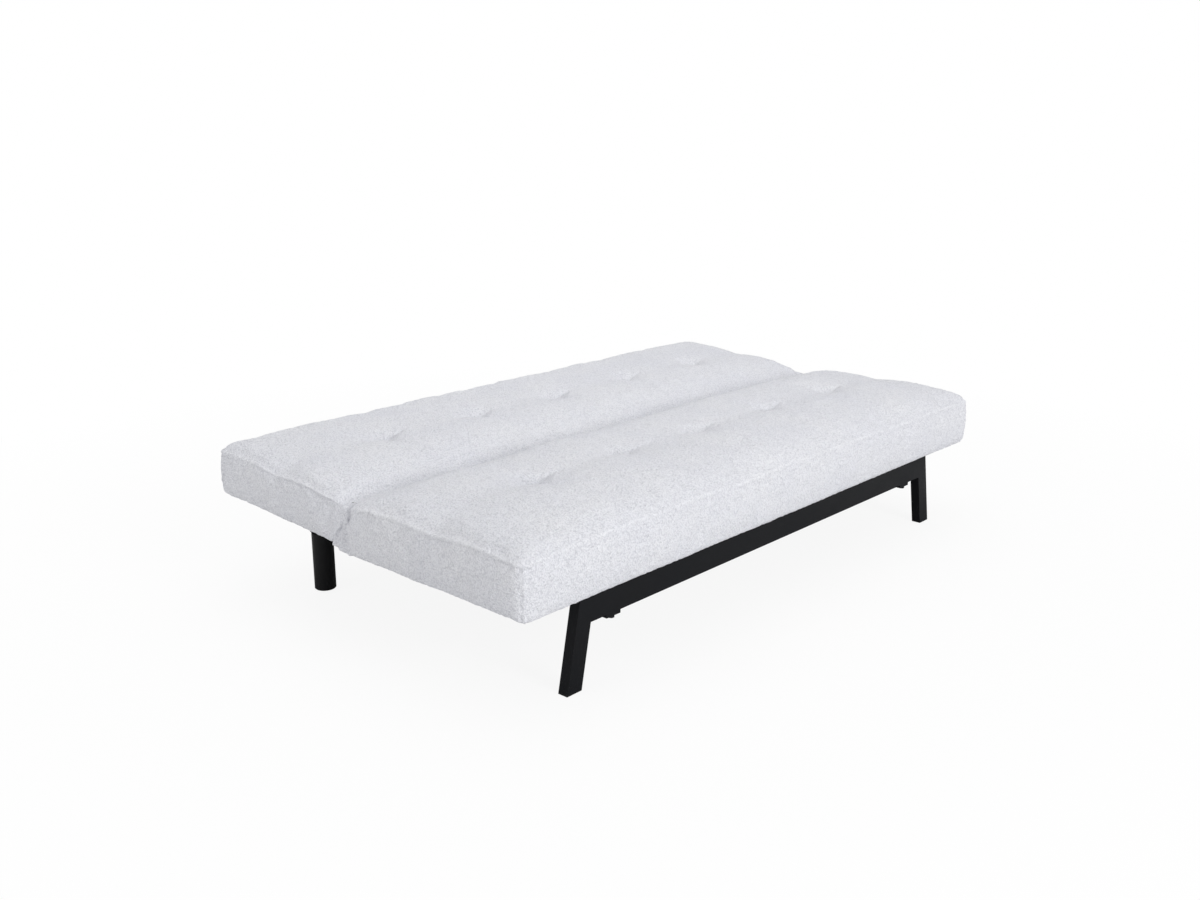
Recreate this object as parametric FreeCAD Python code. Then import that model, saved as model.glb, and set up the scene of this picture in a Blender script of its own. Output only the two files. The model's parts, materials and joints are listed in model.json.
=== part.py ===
"""Click clack sofa bed: two long cushions on a steel frame, joined by two ratchet hinges, drawn flat as a bed.

Millimetres. +X runs along the length, +Y to the rear, +Z up. The origin is on the floor under the middle of the
object's bounding box. Hinge details are drawn in a side view whose origin is the fold axis: v to the rear, w up.
"""

import FreeCAD, Part

import math
import os

V = FreeCAD.Vector

# Cushions
cushion_length = 1900.0
seat_depth = 588.0
seat_bottom_z = 222.0
seat_seam_z = 358.0
back_depth = 528.0
back_bottom_z = 236.0
back_seam_z = 356.0
back_rise_deg = 2.6
side_bow = 5.0
corner_inset = 16.0
corner_run = 14.0
crown_run = 230.0
seat_shoulder_rise = 36.0
seat_lobe_rise = 60.0
seat_channel_rise = 53.0
back_shoulder_rise = 24.0
back_lobe_rise = 50.0
back_rear_lobe_rise = 36.0
back_rear_lift = 12.0
back_rear_lift_run = 40.0
back_channel_rise = 44.0
shoulder_in = 55.0
tuft_count = 5
tuft_pitch = 320.0
tuft_drop = 11.0
tuft_reach = 38.0

# Fold between the cushions
fold_z = 333.0
fold_gap = 4.0
fold_roll_r = 22.0
fold_slope_deg = 50.0
fold_shoulder_in = 45.0
fold_opening = 60.0
soft_clearance = 0.3
gusset_thickness = 2.5
gusset_pleat_depth = 9.0
gusset_top_drop = 34.0

# Timber frames inside the cushions
cover_wall = 18.0
end_wall = 37.0
timber_thickness = 22.0
seat_timber_height = 80.0
back_timber_height = 72.0
back_front_wall = 13.0
cross_rail_width = 44.0
cross_rail_drop = 20.0
block_leg = 60.0
dust_cover_thickness = 2.0
webbing_width = 50.0
webbing_thickness = 2.0
cross_webs = 8
long_webs = 3
pocket_clearance = 0.3

# Steel base
rail_bottom_z = 152.0
rail_height = 70.0
tube_depth = 27.0
tube_wall = 2.0
frame_setback = 29.0
leg_width = 46.0
foot_half_span = 797.5
leg_splay = 0.1976
foot_cap_height = 4.0
foot_plug_height = 20.0
plug_clearance = 0.3
side_rail_x = 643.0
side_rail_width = 40.0
side_rail_height = 60.0
hanger_plate = 4.0
hanger_width = 46.0
hanger_foot_depth = 23.0
hanger_foot_height = 11.0
rear_leg_x = 782.0
rear_leg_from_front = 930.0
rear_leg_dia = 56.0
rear_leg_edge = 2.0
leg_plate_size = 44.0
leg_plate_thickness = 3.0
glide_height = 3.0
glide_dia = 40.0
crossbar_depth = 40.0
crossbar_overhang = 18.0
cap_plug_depth = 8.0
bumper_dia = 38.0
bumper_x = 560.0
bolt_dia = 8.0
bolt_head_dia = 13.0
bolt_head_height = 5.5
bolt_bite = 45.0
thread_clearance = 0.1

# Ratchet hinges
arm_thickness = 4.0
cheek_thickness = 3.0
plate_gap = 0.3
pivot_r = 6.0
running_clearance = 0.05
pivot_boss_r = 14.0
pivot_head_r = 10.0
pivot_head_height = 3.0
tooth_root_r = 28.5
tooth_tip_r = 34.0
tooth_pitch_deg = 13.0
notch_count = 7
pawl_contact_deg = -105.0
pawl_pin_v = -56.0
pawl_pin_w = -34.0
pawl_pin_r = 4.0
pawl_boss_r = 9.0
pawl_throw_deg = 8.0
pawl_clearance = 0.4
pawl_depth = 12.0
pawl_tail_r = 3.0
spacer_r = 5.0
spacer_pin_r = 3.5
spacer_v = -84.0
spacer_w = -16.0
spring_thickness = 1.0
spring_length = 40.0
arm_strip_height = 30.0
seat_arm_top_w = -32.0
back_arm_top_w = -25.0
arm_reach = 290.0
joggle_start = 52.0
joggle_end = 74.0
screw_places = (130.0, 262.0)
screw_r = 2.5
screw_head_across = 10.0
screw_head_height = 3.0
screw_length = 18.0
hinge_pocket_margin = 3.0

# Places that follow from the sizes above
half_length = cushion_length / 2
rise = math.radians(back_rise_deg)
back_mid_z = (back_bottom_z + back_seam_z) / 2
rear_reach = (fold_gap / 2 + back_depth + side_bow) * math.cos(rise) + (fold_z - back_mid_z) * math.sin(rise)
overall_depth = side_bow + seat_depth + fold_gap / 2 + rear_reach
front_y = side_bow - overall_depth / 2
fold_y = front_y + seat_depth + fold_gap / 2
seat_rear_y = fold_y - fold_gap / 2
timber_half_x = half_length - end_wall
seat_timber_z = seat_bottom_z + dust_cover_thickness
seat_timber_top = seat_timber_z + seat_timber_height
back_timber_z = back_bottom_z + dust_cover_thickness
back_timber_top = back_timber_z + back_timber_height
seat_timber_y0 = front_y + cover_wall
seat_timber_y1 = seat_rear_y - cover_wall
back_front_y = seat_rear_y + fold_opening
back_timber_y0 = back_front_y + back_front_wall
back_timber_y1 = fold_y + fold_gap / 2 + back_depth - cover_wall
rail_top_z = rail_bottom_z + rail_height
rail_y0 = front_y + frame_setback
rail_y1 = rail_y0 + tube_depth
crossbar_y = front_y + rear_leg_from_front
side_rail_z0 = rail_top_z - side_rail_height
seat_arm_x = timber_half_x
back_arm_x = seat_arm_x + arm_thickness + plate_gap
cheek_x = back_arm_x + arm_thickness + plate_gap
hinge_outer_x = cheek_x + cheek_thickness


# Shared shapes
def box(x0, x1, y0, y1, z0, z1):
    """Block between two corners."""
    return Part.makeBox(x1 - x0, y1 - y0, z1 - z0, V(x0, y0, z0))


def prism_x(points, x0, x1):
    """Polygon of (y, z) points carried along X."""
    ring = [V(x0, y, z) for y, z in points]
    return Part.Face(Part.makePolygon(ring + ring[:1])).extrude(V(x1 - x0, 0, 0))


def prism_y(points, y0, y1):
    """Polygon of (x, z) points carried along Y."""
    ring = [V(x, y0, z) for x, z in points]
    return Part.Face(Part.makePolygon(ring + ring[:1])).extrude(V(0, y1 - y0, 0))


def prism_z(points, z0, z1):
    """Polygon of (x, y) points carried along Z."""
    ring = [V(x, y, z0) for x, y in points]
    return Part.Face(Part.makePolygon(ring + ring[:1])).extrude(V(0, 0, z1 - z0))


def rod_x(v, w, r, x0, x1):
    """Cylinder along X at a place in the hinge's side view."""
    return Part.makeCylinder(r, x1 - x0, V(x0, fold_y + v, fold_z + w), V(1, 0, 0))


def twelve_sides(a, b, r):
    """Corners of a twelve-sided outline round a point, which fasteners' shanks and their holes have."""
    return [(a + r * math.cos(math.radians(30 * i)), b + r * math.sin(math.radians(30 * i))) for i in range(12)]


def upright_shank(x, y, r, z0, z1):
    """Shank of a fastener, or its hole, along Z."""
    return prism_z(twelve_sides(x, y, r), z0, z1)


def level_shank(x, z, r, y0, y1):
    """Shank of a fastener, or its hole, along Y."""
    return prism_y(twelve_sides(x, z, r), y0, y1)


def side_shank(v, w, r, x0, x1):
    """Shank of a fastener, or its hole, along X at a place in the hinge's side view."""
    return prism_x(twelve_sides(fold_y + v, fold_z + w, r), x0, x1)


def side_plate(points, x0, x1):
    """Plate cut to a polygon of (v, w) points in the hinge's side view."""
    return prism_x([(fold_y + v, fold_z + w) for v, w in points], x0, x1)


def arc(a, b, c):
    """Arc from a to c through b."""
    return Part.Arc(a, b, c).toShape()


def polar(r, degrees):
    """Point of the hinge's side view at a radius and an angle from the rear, turning upwards."""
    return (r * math.cos(math.radians(degrees)), r * math.sin(math.radians(degrees)))


def fused(shapes):
    """One solid of several that meet, without the seams between them."""
    whole = shapes[0].fuse(list(shapes[1:])) if len(shapes) > 1 else shapes[0]
    return whole.removeSplitter()


def mirrored(shape):
    """The same piece for the other end."""
    return shape.mirror(V(0, 0, 0), V(1, 0, 0))


def tilted(shape):
    """A piece of the back, turned about the fold axis by the slight rise that it has as a bed."""
    turned = shape.copy()
    turned.rotate(V(0, fold_y, fold_z), V(1, 0, 0), back_rise_deg)
    return turned


def belt(circles, x0, x1):
    """Plate whose outline is a belt round circles (v, w, r) given anticlockwise in the side view."""
    touches = []
    count = len(circles)
    for i in range(count):
        v0, w0, r0 = circles[i]
        v1, w1, r1 = circles[(i + 1) % count]
        reach = math.hypot(v1 - v0, w1 - w0)
        lean = math.atan2(w1 - w0, v1 - v0) - math.acos((r0 - r1) / reach)
        touches.append(lean)
    edges = []
    for i in range(count):
        v0, w0, r0 = circles[i]
        v1, w1, r1 = circles[(i + 1) % count]
        start = touches[i - 1]
        stop = touches[i]
        while stop < start:
            stop += 2 * math.pi
        middle = (start + stop) / 2
        at = [V(x0, fold_y + v0 + r0 * math.cos(a), fold_z + w0 + r0 * math.sin(a)) for a in (start, middle, stop)]
        edges.append(arc(*at))
        onward = V(x0, fold_y + v1 + r1 * math.cos(stop), fold_z + w1 + r1 * math.sin(stop))
        edges.append(Part.LineSegment(at[2], onward).toShape())
    return Part.Face(Part.Wire(edges)).extrude(V(x1 - x0, 0, 0))


# Cushions
def crown_share(x):
    """How much of the crown stands at a place along the length: none at the ends, all past the crown's run."""
    inward = min(half_length - abs(x), crown_run) / crown_run
    return max(0.03, math.sin(math.pi / 2 * inward ** 0.75))


def end_round(x):
    """Rounding of the end corners: one at the end face, none past the corner's run."""
    inward = min(half_length - abs(x), corner_run) / corner_run
    return (1 - inward) ** 2


def tuft_share(x):
    """Depth of the nearest tuft's pull at a place along the length, from none to one."""
    first = -(tuft_count - 1) / 2 * tuft_pitch
    return max(math.exp(-(((x - first - k * tuft_pitch) / tuft_reach) ** 2)) for k in range(tuft_count))


def stations():
    """Places along the length where the cushions' sections are drawn."""
    places = set()
    for inward in (0.0, corner_run / 2, 30.0, 90.0, 165.0):
        places.add(half_length - inward)
    for k in range(tuft_count):
        tuft_x = (k - (tuft_count - 1) / 2) * tuft_pitch
        for step in (0.0, 1.5 * tuft_reach, tuft_pitch / 2):
            if abs(tuft_x) + step < half_length - 110.0:
                places.add(round(abs(tuft_x) + step, 3))
                places.add(round(abs(abs(tuft_x) - step), 3))
    return sorted({-p for p in places} | places)


def seat_section(x):
    """Seat cushion's outline at one place along the length, from the front's bottom edge over the top."""
    share = crown_share(x)
    inset = corner_inset * end_round(x)
    seam = seat_seam_z - 0.4 * inset
    floor = seat_bottom_z + 0.5 * inset
    front = front_y + inset
    channel = seam + share * (seat_channel_rise - tuft_drop * tuft_share(x))
    lobe = seam + share * (seat_lobe_rise - 0.3 * tuft_drop * tuft_share(x))
    shoulder = seam + share * seat_shoulder_rise
    middle_y = front_y + seat_depth / 2
    slope = math.tan(math.radians(fold_slope_deg))
    rear_shoulder = min(seam + share * seat_lobe_rise, fold_z + slope * fold_shoulder_in)
    rear_shoulder = seam + share * (rear_shoulder - seam) if share < 0.99 else rear_shoulder
    lip_v, lip_w = polar(fold_roll_r + soft_clearance, 180 - fold_slope_deg)
    hollow_w = -math.sqrt((fold_roll_r + soft_clearance) ** 2 - (fold_gap / 2) ** 2)
    hollow_v, hollow_mid_w = polar(fold_roll_r + soft_clearance, 195)

    a = V(x, front, floor)
    b = V(x, front, seam)
    c = V(x, front + shoulder_in, shoulder)
    d = V(x, middle_y, channel)
    e = V(x, fold_y - fold_shoulder_in, rear_shoulder)
    f = V(x, fold_y + lip_v, fold_z + lip_w)
    g = V(x, seat_rear_y, fold_z + hollow_w)
    h = V(x, seat_rear_y, floor)
    return Part.Wire([
        arc(a, V(x, front - side_bow, (floor + seam) / 2), b),
        arc(b, V(x, front + 0.32 * shoulder_in, seam + 0.56 * (shoulder - seam) + 0.4), c),
        arc(c, V(x, (c.y + d.y) / 2, lobe), d),
        arc(d, V(x, (d.y + e.y) / 2, lobe), e),
        Part.LineSegment(e, f).toShape(),
        arc(f, V(x, fold_y + hollow_v, fold_z + hollow_mid_w), g),
        Part.LineSegment(g, h).toShape(),
        Part.LineSegment(h, a).toShape(),
    ])


def back_section(x):
    """Back cushion's outline before the back is tilted: a roll round the fold axis, the top, and the rear side."""
    share = crown_share(x)
    inset = corner_inset * end_round(x)
    seam = back_seam_z - 0.4 * inset
    floor = back_bottom_z + 0.5 * inset
    rear = fold_y + fold_gap / 2 + back_depth - inset
    rear_seam = seam + back_rear_lift * min(1.0, (half_length - abs(x)) / back_rear_lift_run)
    channel = seam + share * (back_channel_rise - tuft_drop * tuft_share(x))
    lobe = seam + share * (back_lobe_rise - 0.3 * tuft_drop * tuft_share(x))
    rear_lobe = seam + share * (back_rear_lobe_rise - 0.3 * tuft_drop * tuft_share(x))
    shoulder = max(seam + share * back_shoulder_rise, rear_seam + 1)
    middle_y = fold_y + fold_gap / 2 + back_depth / 2
    slope_deg = fold_slope_deg - back_rise_deg
    full = fold_z + math.tan(math.radians(slope_deg)) * fold_shoulder_in
    near_shoulder = full if share >= 0.99 else seam + share * (full - seam)
    lip_v, lip_w = polar(fold_roll_r, slope_deg)
    top_v, top_w = polar(fold_roll_r, 104)
    left_v, left_w = polar(fold_roll_r, 160)
    low_v, low_w = polar(fold_roll_r, 212)
    foot_v, foot_w = polar(fold_roll_r, 262)

    f = V(x, fold_y + lip_v, fold_z + lip_w)
    e = V(x, fold_y + fold_shoulder_in, near_shoulder)
    d = V(x, middle_y, channel)
    c = V(x, rear - shoulder_in, shoulder)
    b = V(x, rear, rear_seam)
    a = V(x, rear, floor)
    h = V(x, back_front_y, floor)
    g = V(x, fold_y + foot_v, fold_z + foot_w)
    r = V(x, fold_y + left_v, fold_z + left_w)
    return Part.Wire([
        Part.LineSegment(f, e).toShape(),
        arc(e, V(x, (d.y + e.y) / 2, lobe), d),
        arc(d, V(x, (c.y + d.y) / 2, rear_lobe), c),
        arc(c, V(x, rear - 0.32 * shoulder_in, rear_seam + 0.56 * (shoulder - rear_seam) + 0.4), b),
        arc(b, V(x, rear + side_bow, (floor + rear_seam) / 2), a),
        Part.LineSegment(a, h).toShape(),
        Part.LineSegment(h, g).toShape(),
        arc(g, V(x, fold_y + low_v, fold_z + low_w), r),
        arc(r, V(x, fold_y + top_v, fold_z + top_w), f),
    ])


def both_ends(shape):
    """A cutting shape together with its mirror image."""
    return [shape, mirrored(shape)]


def seat_cushion():
    """Foam and cover of the seat: crowned and tufted on top, hollow below for the timber frame and the hinges."""
    body = Part.makeLoft([seat_section(x) for x in stations()], True, True)
    fit = pocket_clearance
    web_top = seat_timber_top + 2 * webbing_thickness
    cuts = [box(-timber_half_x - fit, timber_half_x + fit, seat_timber_y0 - fit, seat_timber_y1 + fit,
                seat_bottom_z - 20, web_top + fit)]
    x0 = timber_half_x - pivot_head_height - hinge_pocket_margin
    x1 = hinge_outer_x + pivot_head_height + hinge_pocket_margin
    margin = hinge_pocket_margin
    stop_v, stop_w = stop_pin_place()
    room = belt([(0, 0, tooth_tip_r + margin), (spacer_v, spacer_w, spacer_r + 4 + margin),
                 (stop_v, stop_w, spacer_r + 4 + margin)], x0, x1)
    room = room.common(side_plate([(-200, -120), (60, -120), (60, pivot_boss_r), (-200, pivot_boss_r)], x0, x1))
    cuts += both_ends(room)
    left_v = spacer_v - spacer_r - 4 - margin
    low_w = min(seat_arm_top_w - arm_strip_height, spacer_w - spring_length) - margin
    spring_room = side_plate([(left_v, low_w), (0, low_w), (0, seat_arm_top_w), (left_v, seat_arm_top_w)], x0, x1)
    cuts += both_ends(spring_room)
    strip = side_plate([(-arm_reach - margin, seat_arm_top_w - arm_strip_height - margin),
                        (0, seat_arm_top_w - arm_strip_height - margin),
                        (0, seat_arm_top_w + margin), (-arm_reach - margin, seat_arm_top_w + margin)],
                       timber_half_x - 1, seat_arm_x + arm_thickness + screw_head_height + 1)
    cuts += both_ends(strip)
    return body.cut(cuts)


def back_cushion():
    """Foam and cover of the back, made level and then tilted about the fold axis."""
    body = Part.makeLoft([back_section(x) for x in stations()], True, True)
    fit = pocket_clearance
    web_top = back_timber_top + 2 * webbing_thickness
    cuts = [box(-timber_half_x - fit, timber_half_x + fit, back_timber_y0 - fit, back_timber_y1 + fit,
                back_bottom_z - 20, web_top + fit)]
    x0 = timber_half_x - pivot_head_height - hinge_pocket_margin
    x1 = hinge_outer_x + pivot_head_height + hinge_pocket_margin
    margin = hinge_pocket_margin
    cuts += both_ends(rod_x(0, 0, fold_roll_r + 0.6, x0, x1))
    low = back_arm_top_w - arm_strip_height - margin
    neck = side_plate([(-20, -60), (joggle_end + 10, -60), (joggle_end + 10, back_arm_top_w + margin),
                       (20, pivot_boss_r + margin), (-20, pivot_boss_r + margin)], x0, x1)
    cuts += both_ends(neck)
    strip = side_plate([(0, low), (arm_reach + margin, low), (arm_reach + margin, back_arm_top_w + margin),
                        (0, back_arm_top_w + margin)],
                       timber_half_x - 1, seat_arm_x + arm_thickness + screw_head_height + 1)
    cuts += both_ends(strip)
    return tilted(body.cut(cuts))


def gusset():
    """Pleated cloth that closes the wedge between the cushions at one end."""
    z_low = seat_bottom_z + 12
    z_high = fold_z - gusset_top_drop
    gap = soft_clearance

    def face_y(z):
        foot_v, foot_w = polar(fold_roll_r, 262 + back_rise_deg)
        low_v = (back_front_y - fold_y) * math.cos(rise) - (back_bottom_z - fold_z) * math.sin(rise)
        low_w = (back_front_y - fold_y) * math.sin(rise) + (back_bottom_z - fold_z) * math.cos(rise)
        along = (z - fold_z - low_w) / (foot_w - low_w)
        return fold_y + low_v + along * (foot_v - low_v)

    rings = []
    faces = []
    for z in (z_low, z_high):
        y0 = seat_rear_y + gap
        y1 = face_y(z) - gap
        span = y1 - y0
        depth = gusset_pleat_depth * min(1.0, span / fold_opening + 0.15)
        outer = []
        for i in range(5):
            fold_in = depth if i % 2 else 0.0
            outer.append((half_length - 2 - fold_in, y0 + span * i / 4))
        inner = [(x - gusset_thickness, y) for x, y in reversed(outer)]
        ring = [V(x, y, z) for x, y in outer + inner]
        rings.append(ring)
        faces.append(Part.Face(Part.makePolygon(ring + ring[:1])))
    low, high = rings
    for i in range(len(low)):
        j = (i + 1) % len(low)
        for corners in ((low[i], low[j], high[j]), (low[i], high[j], high[i])):
            faces.append(Part.Face(Part.makePolygon(list(corners) + [corners[0]])))
    return Part.Solid(Part.makeShell(faces))


# Timber, webbing and dust covers
def long_rail(y0, y1, z0, z1):
    """Board along the whole frame."""
    return box(-timber_half_x, timber_half_x, y0, y1, z0, z1)


def end_rails(y0, y1, z0, z1, strip_w, side, turn):
    """Two end boards between the long boards, drilled for the hinge arm's screws."""
    board = box(timber_half_x - timber_thickness, timber_half_x, y0, y1, z0, z1)
    holes = [screw_hole(side * place, strip_w, screw_r + thread_clearance) for place in screw_places]
    board = board.cut(holes)
    return [turn(board), turn(mirrored(board))]


def screw_hole(v, w, r):
    """Round hole for a screw of the hinge arm."""
    return side_shank(v, w, r, timber_half_x - screw_length, timber_half_x + 30)


def cross_rails(y0, y1, z0, z1):
    """Fore-and-aft boards of a timber frame, over the steel side rails and in the middle."""
    boards = []
    for x in (-side_rail_x, 0.0, side_rail_x):
        boards.append(box(x - cross_rail_width / 2, x + cross_rail_width / 2, y0, y1, z0, z1))
    return boards


def corner_blocks(y0, y1, z0, z1):
    """Triangular blocks glued in the corners of a timber frame."""
    blocks = []
    x1 = timber_half_x - timber_thickness
    for sign in (-1, 1):
        for y, inward in ((y0, 1), (y1, -1)):
            corner = [(sign * x1, y), (sign * (x1 - block_leg), y), (sign * x1, y + inward * block_leg)]
            blocks.append(prism_z(corner, z0, z1))
    return blocks


def webbing(y0, y1, z):
    """Elastic belts: a layer from front to rear, and a layer along the length on top of it."""
    belts = []
    span = 2 * (timber_half_x - timber_thickness - webbing_width)
    for i in range(cross_webs):
        x = -span / 2 + span * i / (cross_webs - 1)
        belts.append(box(x - webbing_width / 2, x + webbing_width / 2, y0, y1, z, z + webbing_thickness))
    for i in range(long_webs):
        y = y0 + (y1 - y0) * (i + 1) / (long_webs + 1)
        belts.append(box(-timber_half_x + 4, timber_half_x - 4, y - webbing_width / 2, y + webbing_width / 2,
                         z + webbing_thickness, z + 2 * webbing_thickness))
    return belts


def bolt_hole(x, y, z0, z1):
    """Clearance hole for a frame bolt."""
    return upright_shank(x, y, bolt_dia / 2 + thread_clearance, z0, z1)


# Steel base
def leg_outer_x(z):
    """Outer edge of a front leg at a height."""
    return foot_half_span - leg_splay * z


def front_leg_frame():
    """Welded frame of rectangular tube: a rail with two splayed legs, open at the feet."""
    top = rail_top_z
    low = rail_bottom_z
    foot = foot_cap_height
    outline = [(-leg_outer_x(foot), foot), (-leg_outer_x(foot) + leg_width, foot),
               (-leg_outer_x(low) + leg_width, low), (leg_outer_x(low) - leg_width, low),
               (leg_outer_x(foot) - leg_width, foot), (leg_outer_x(foot), foot),
               (leg_outer_x(top), top), (-leg_outer_x(top), top)]
    frame = prism_y(outline, rail_y0, rail_y1)
    wall = tube_wall
    rail_core = [(-leg_outer_x(low) + wall, low + wall), (leg_outer_x(low) - wall, low + wall),
                 (leg_outer_x(top) - wall, top - wall), (-leg_outer_x(top) + wall, top - wall)]
    cuts = [prism_y(rail_core, rail_y0 + wall, rail_y1 - wall)]
    for sign in (-1, 1):
        cuts.append(leg_core(sign, foot - 1, low - wall, wall))
        cuts.append(bolt_hole(sign * side_rail_x, hanger_bolt_y(), low - 10, top + 10))
    return frame.cut(cuts)


def leg_core(sign, z0, z1, wall):
    """Hollow inside a front leg, less a wall."""
    core = [(sign * (leg_outer_x(z0) - wall), z0), (sign * (leg_outer_x(z0) - leg_width + wall), z0),
            (sign * (leg_outer_x(z1) - leg_width + wall), z1), (sign * (leg_outer_x(z1) - wall), z1)]
    return prism_y(core, rail_y0 + wall, rail_y1 - wall)


def hanger_bolt_y():
    """Depth of the bolt that holds the front rail, the side rail's hanger and the seat together."""
    return rail_y0 + tube_depth / 2 - 2


def front_foot_caps():
    """Plastic caps under the front legs, plugged into the tubes."""
    caps = []
    for sign in (-1, 1):
        x_out = leg_outer_x(foot_cap_height)
        x_low = leg_outer_x(0)
        sole = prism_y([(sign * x_low, 0), (sign * (x_low - leg_width), 0),
                        (sign * (x_out - leg_width), foot_cap_height), (sign * x_out, foot_cap_height)],
                       rail_y0, rail_y1)
        plug = leg_core(sign, foot_cap_height - 0.5, foot_cap_height + foot_plug_height, tube_wall + plug_clearance)
        plug = plug.common(box(-2000, 2000, rail_y0 + tube_wall + plug_clearance,
                               rail_y1 - tube_wall - plug_clearance, 0, 200))
        caps.append(fused([sole, plug]))
    return caps


def side_rail(sign):
    """Fore-and-aft rectangular tube with a hanger that hooks under the front rail and a plate for the crossbar."""
    y0 = rail_y1
    y1 = crossbar_y - crossbar_depth / 2
    x = sign * side_rail_x
    half = side_rail_width / 2
    wide = hanger_width / 2
    low = side_rail_z0
    tube = box(x - half, x + half, y0 + hanger_plate, y1 - hanger_plate, low, rail_top_z)
    front_plate = box(x - wide, x + wide, y0, y0 + hanger_plate, rail_bottom_z - hanger_foot_height, rail_top_z)
    foot = box(x - wide, x + wide, y0 - hanger_foot_depth, y0 + hanger_plate,
               rail_bottom_z - hanger_foot_height, rail_bottom_z)
    rear_plate = box(x - wide, x + wide, y1 - hanger_plate, y1, low, rail_top_z)
    rail = fused([tube, front_plate, foot, rear_plate])
    cuts = [box(x - half + tube_wall, x + half - tube_wall, y0 + hanger_plate, y1 - hanger_plate,
                low + tube_wall, rail_top_z - tube_wall),
            bolt_hole(x, hanger_bolt_y(), rail_bottom_z - 40, rail_bottom_z + 5),
            bolt_hole(x, seat_timber_y1 - timber_thickness / 2 - 30, low - 5, rail_top_z + 5)]
    for z in side_bolt_heights():
        cuts.append(level_shank(x, z, bolt_dia / 2 + thread_clearance, y1 - 10, y1 + 10))
    return rail.cut(cuts)


def rear_crossbar():
    """Rectangular tube across the rear, over the rear legs."""
    half = rear_leg_x + crossbar_overhang
    y0 = crossbar_y - crossbar_depth / 2
    y1 = crossbar_y + crossbar_depth / 2
    bar = box(-half, half, y0, y1, side_rail_z0, rail_top_z)
    cuts = [box(-half - 1, half + 1, y0 + tube_wall, y1 - tube_wall, side_rail_z0 + tube_wall,
                rail_top_z - tube_wall)]
    for sign in (-1, 1):
        cuts.append(bolt_hole(sign * rear_leg_x, crossbar_y, side_rail_z0 - 5, side_rail_z0 + 5))
        for z in side_bolt_heights():
            cuts.append(level_shank(sign * side_rail_x, z, bolt_dia / 2 + thread_clearance, y0 - 10, y1 + 10))
    return bar.cut(cuts)


def side_bolt_heights():
    """Height of the bolt that holds a side rail to the crossbar."""
    return (side_rail_z0 + side_rail_height / 2,)


def crossbar_caps():
    """Plastic caps in the crossbar's open ends."""
    half = rear_leg_x + crossbar_overhang
    inset = tube_wall + plug_clearance
    y0 = crossbar_y - crossbar_depth / 2
    y1 = crossbar_y + crossbar_depth / 2
    plate = box(half, half + 3, y0, y1, side_rail_z0, rail_top_z)
    plug = box(half - cap_plug_depth, half, y0 + inset, y1 - inset, side_rail_z0 + inset, rail_top_z - inset)
    cap = fused([plate, plug])
    return [cap, mirrored(cap)]


def rear_leg():
    """Round upright leg with an eased bottom edge and a blind hole for its stud."""
    r = rear_leg_dia / 2
    e = rear_leg_edge
    top = side_rail_z0 - leg_plate_thickness
    outline = [V(0, 0, glide_height), V(r - e, 0, glide_height), V(r, 0, glide_height + e), V(r, 0, top), V(0, 0, top)]
    leg = Part.Face(Part.makePolygon(outline + outline[:1])).revolve(V(0, 0, 0), V(0, 0, 1), 360)
    leg = leg.cut(upright_shank(0, 0, bolt_dia / 2 + thread_clearance, top - 22, top + 2))
    leg.translate(V(rear_leg_x, crossbar_y, 0))
    return leg


def rear_leg_plates():
    """Square plates welded under the crossbar over the round legs."""
    half = leg_plate_size / 2
    z1 = side_rail_z0
    plate = box(rear_leg_x - half, rear_leg_x + half, crossbar_y - half, crossbar_y + half,
                z1 - leg_plate_thickness, z1)
    plate = plate.cut(bolt_hole(rear_leg_x, crossbar_y, z1 - 10, z1 + 10))
    return [plate, mirrored(plate)]


def rear_leg_studs():
    """Threaded studs of the rear legs with their nuts inside the crossbar."""
    top = side_rail_z0 - leg_plate_thickness
    stud = upright_shank(rear_leg_x, crossbar_y, bolt_dia / 2, top - 20, side_rail_z0 + tube_wall + 9)
    nut = hexagon(rear_leg_x, crossbar_y, side_rail_z0 + tube_wall, bolt_head_dia, 6.5)
    whole = fused([stud, nut])
    return [whole, mirrored(whole)]


def hexagon(x, y, z, across, height):
    """Upright hexagonal head or nut."""
    r = across / math.sqrt(3)
    ring = [(x + r * math.cos(math.radians(60 * i)), y + r * math.sin(math.radians(60 * i))) for i in range(6)]
    return prism_z(ring, z, z + height)


def rear_glides():
    """Round glides nailed under the rear legs."""
    glide = Part.makeCone(glide_dia / 2 - 2, glide_dia / 2, glide_height, V(rear_leg_x, crossbar_y, 0))
    return [glide, mirrored(glide)]


def bumper_top_cutter():
    """Everything above the underside of the tilted back, less a small gap."""
    slab = box(-1200, 1200, fold_y, fold_y + 900, back_bottom_z - soft_clearance, back_bottom_z + 200)
    return tilted(slab)


def back_bumpers():
    """Rubber stops on the crossbar, on which the back lies as a bed."""
    stops = []
    for sign in (-1, 1):
        stop = Part.makeCone(bumper_dia / 2, bumper_dia / 2 - 3, 60, V(sign * bumper_x, crossbar_y, rail_top_z))
        stops.append(stop.cut(bumper_top_cutter()))
    return stops


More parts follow.
